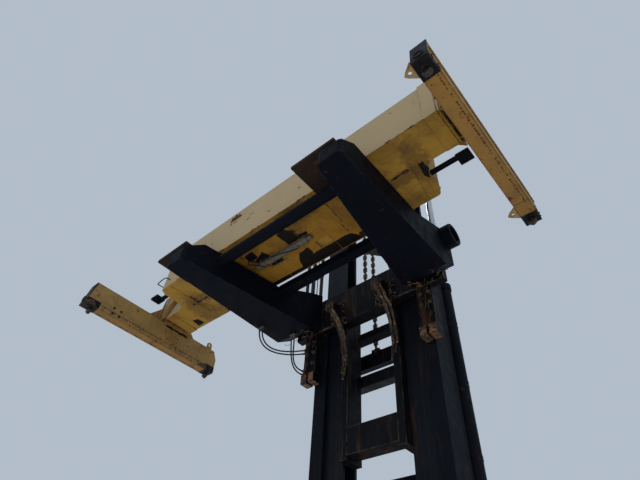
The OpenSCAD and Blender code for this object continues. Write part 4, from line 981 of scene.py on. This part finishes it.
# Lock housings: cast and welded black steel with bolted covers, a round recess in front and a worn
# ring round each lock's neck. The guide lugs stand past the inner face: yellow on the right, worn
# down to black on the left.
past, give, take = new_group("past a plane", ("Point", (0, 0, 0)), ("Way", (1, 0, 0)))
beyond = vectors(past, "SUBTRACT", here(past), give["Point"])
wire(past, ramp(past, vectors(past, "DOT_PRODUCT", beyond, give["Way"], "Value"), 0, 0.001), take)
NECK_RING = [(0, 40), (0, 58), (5, 58), (7, 56), (7, 40)]
RECESS_RIM = [(-4, 30), (-4, 52), (6, 52), (9, 49), (9, 30)]
for side, lug_paint in ((-1, 0.15), (1, 1)):
    lug_plane = dict(Point=tuple(sp(side * (LOCK_X - END_HALF - 0.007), 0, 0)), Way=(-side, 0, 0))
    housing_black = weathered(f"{SIDE[side]} housing", (0.006, 0.007, 0.01), (0.003, 0.0035, 0.005), [
        ((0.36, 0.23, 0.095), past, lug_plane, lug_paint),
        patches(RUST, 7, 0.54, 0.66, 0.8),
        patches(ORANGE, 9, 0.66, 0.72, 0.6),
        runs(GREASE, 12, 1, 0.6, 0.78, 0.3),
        side_on(DUST, UP, 0.3, 0.9, 0.4),
    ], rough=0.42, spread=0.3, edge=((0.11, 0.075, 0.055), 0.012, 0.9), gloss=0.15, lumps=0.6)
    dress(housing_black, f"corner_blocks_{SIDE[side]}")
    hardware = bmesh.new()
    for way in (-1, 1):
        bolts(hardware, [sp(side * (LOCK_X + END_HALF + 0.006), way * LOCK_Y + dy, z)
                         for dy in (-0.055, 0.055) for z in (LAND + 0.03, LAND + 0.085)], (side, 0, 0), 14)
        turned(hardware, sp(side * LOCK_X, way * LOCK_Y, LAND), DOWN, NECK_RING, 36, ring=True)
    turned(hardware, sp(side * LOCK_X, -END_FRONT - 0.02, LAND + 0.085), FRONT, RECESS_RIM, 36, ring=True)
    keep(f"{SIDE[side]}_housing_hardware", hardware, housing_black, BODY[side])

# Twistlocks: forged steel heads that turn in the housings, dark and greasy with bare worn edges.
# They are dressed only; their shape is all in the solids.
lock_steel = weathered("lock steel", (0.06, 0.048, 0.04), (0.026, 0.02, 0.017), [
    patches(RUST, 14, 0.5, 0.64, 0.8),
    patches(GREASE, 22, 0.56, 0.68, 0.6),
], rough=0.4, metal=0.7, edge=((0.34, 0.3, 0.25), 0.007, 1), gloss=0.4)
dress(lock_steel, "lock_left_front", "lock_left_rear", "lock_right_front", "lock_right_rear")
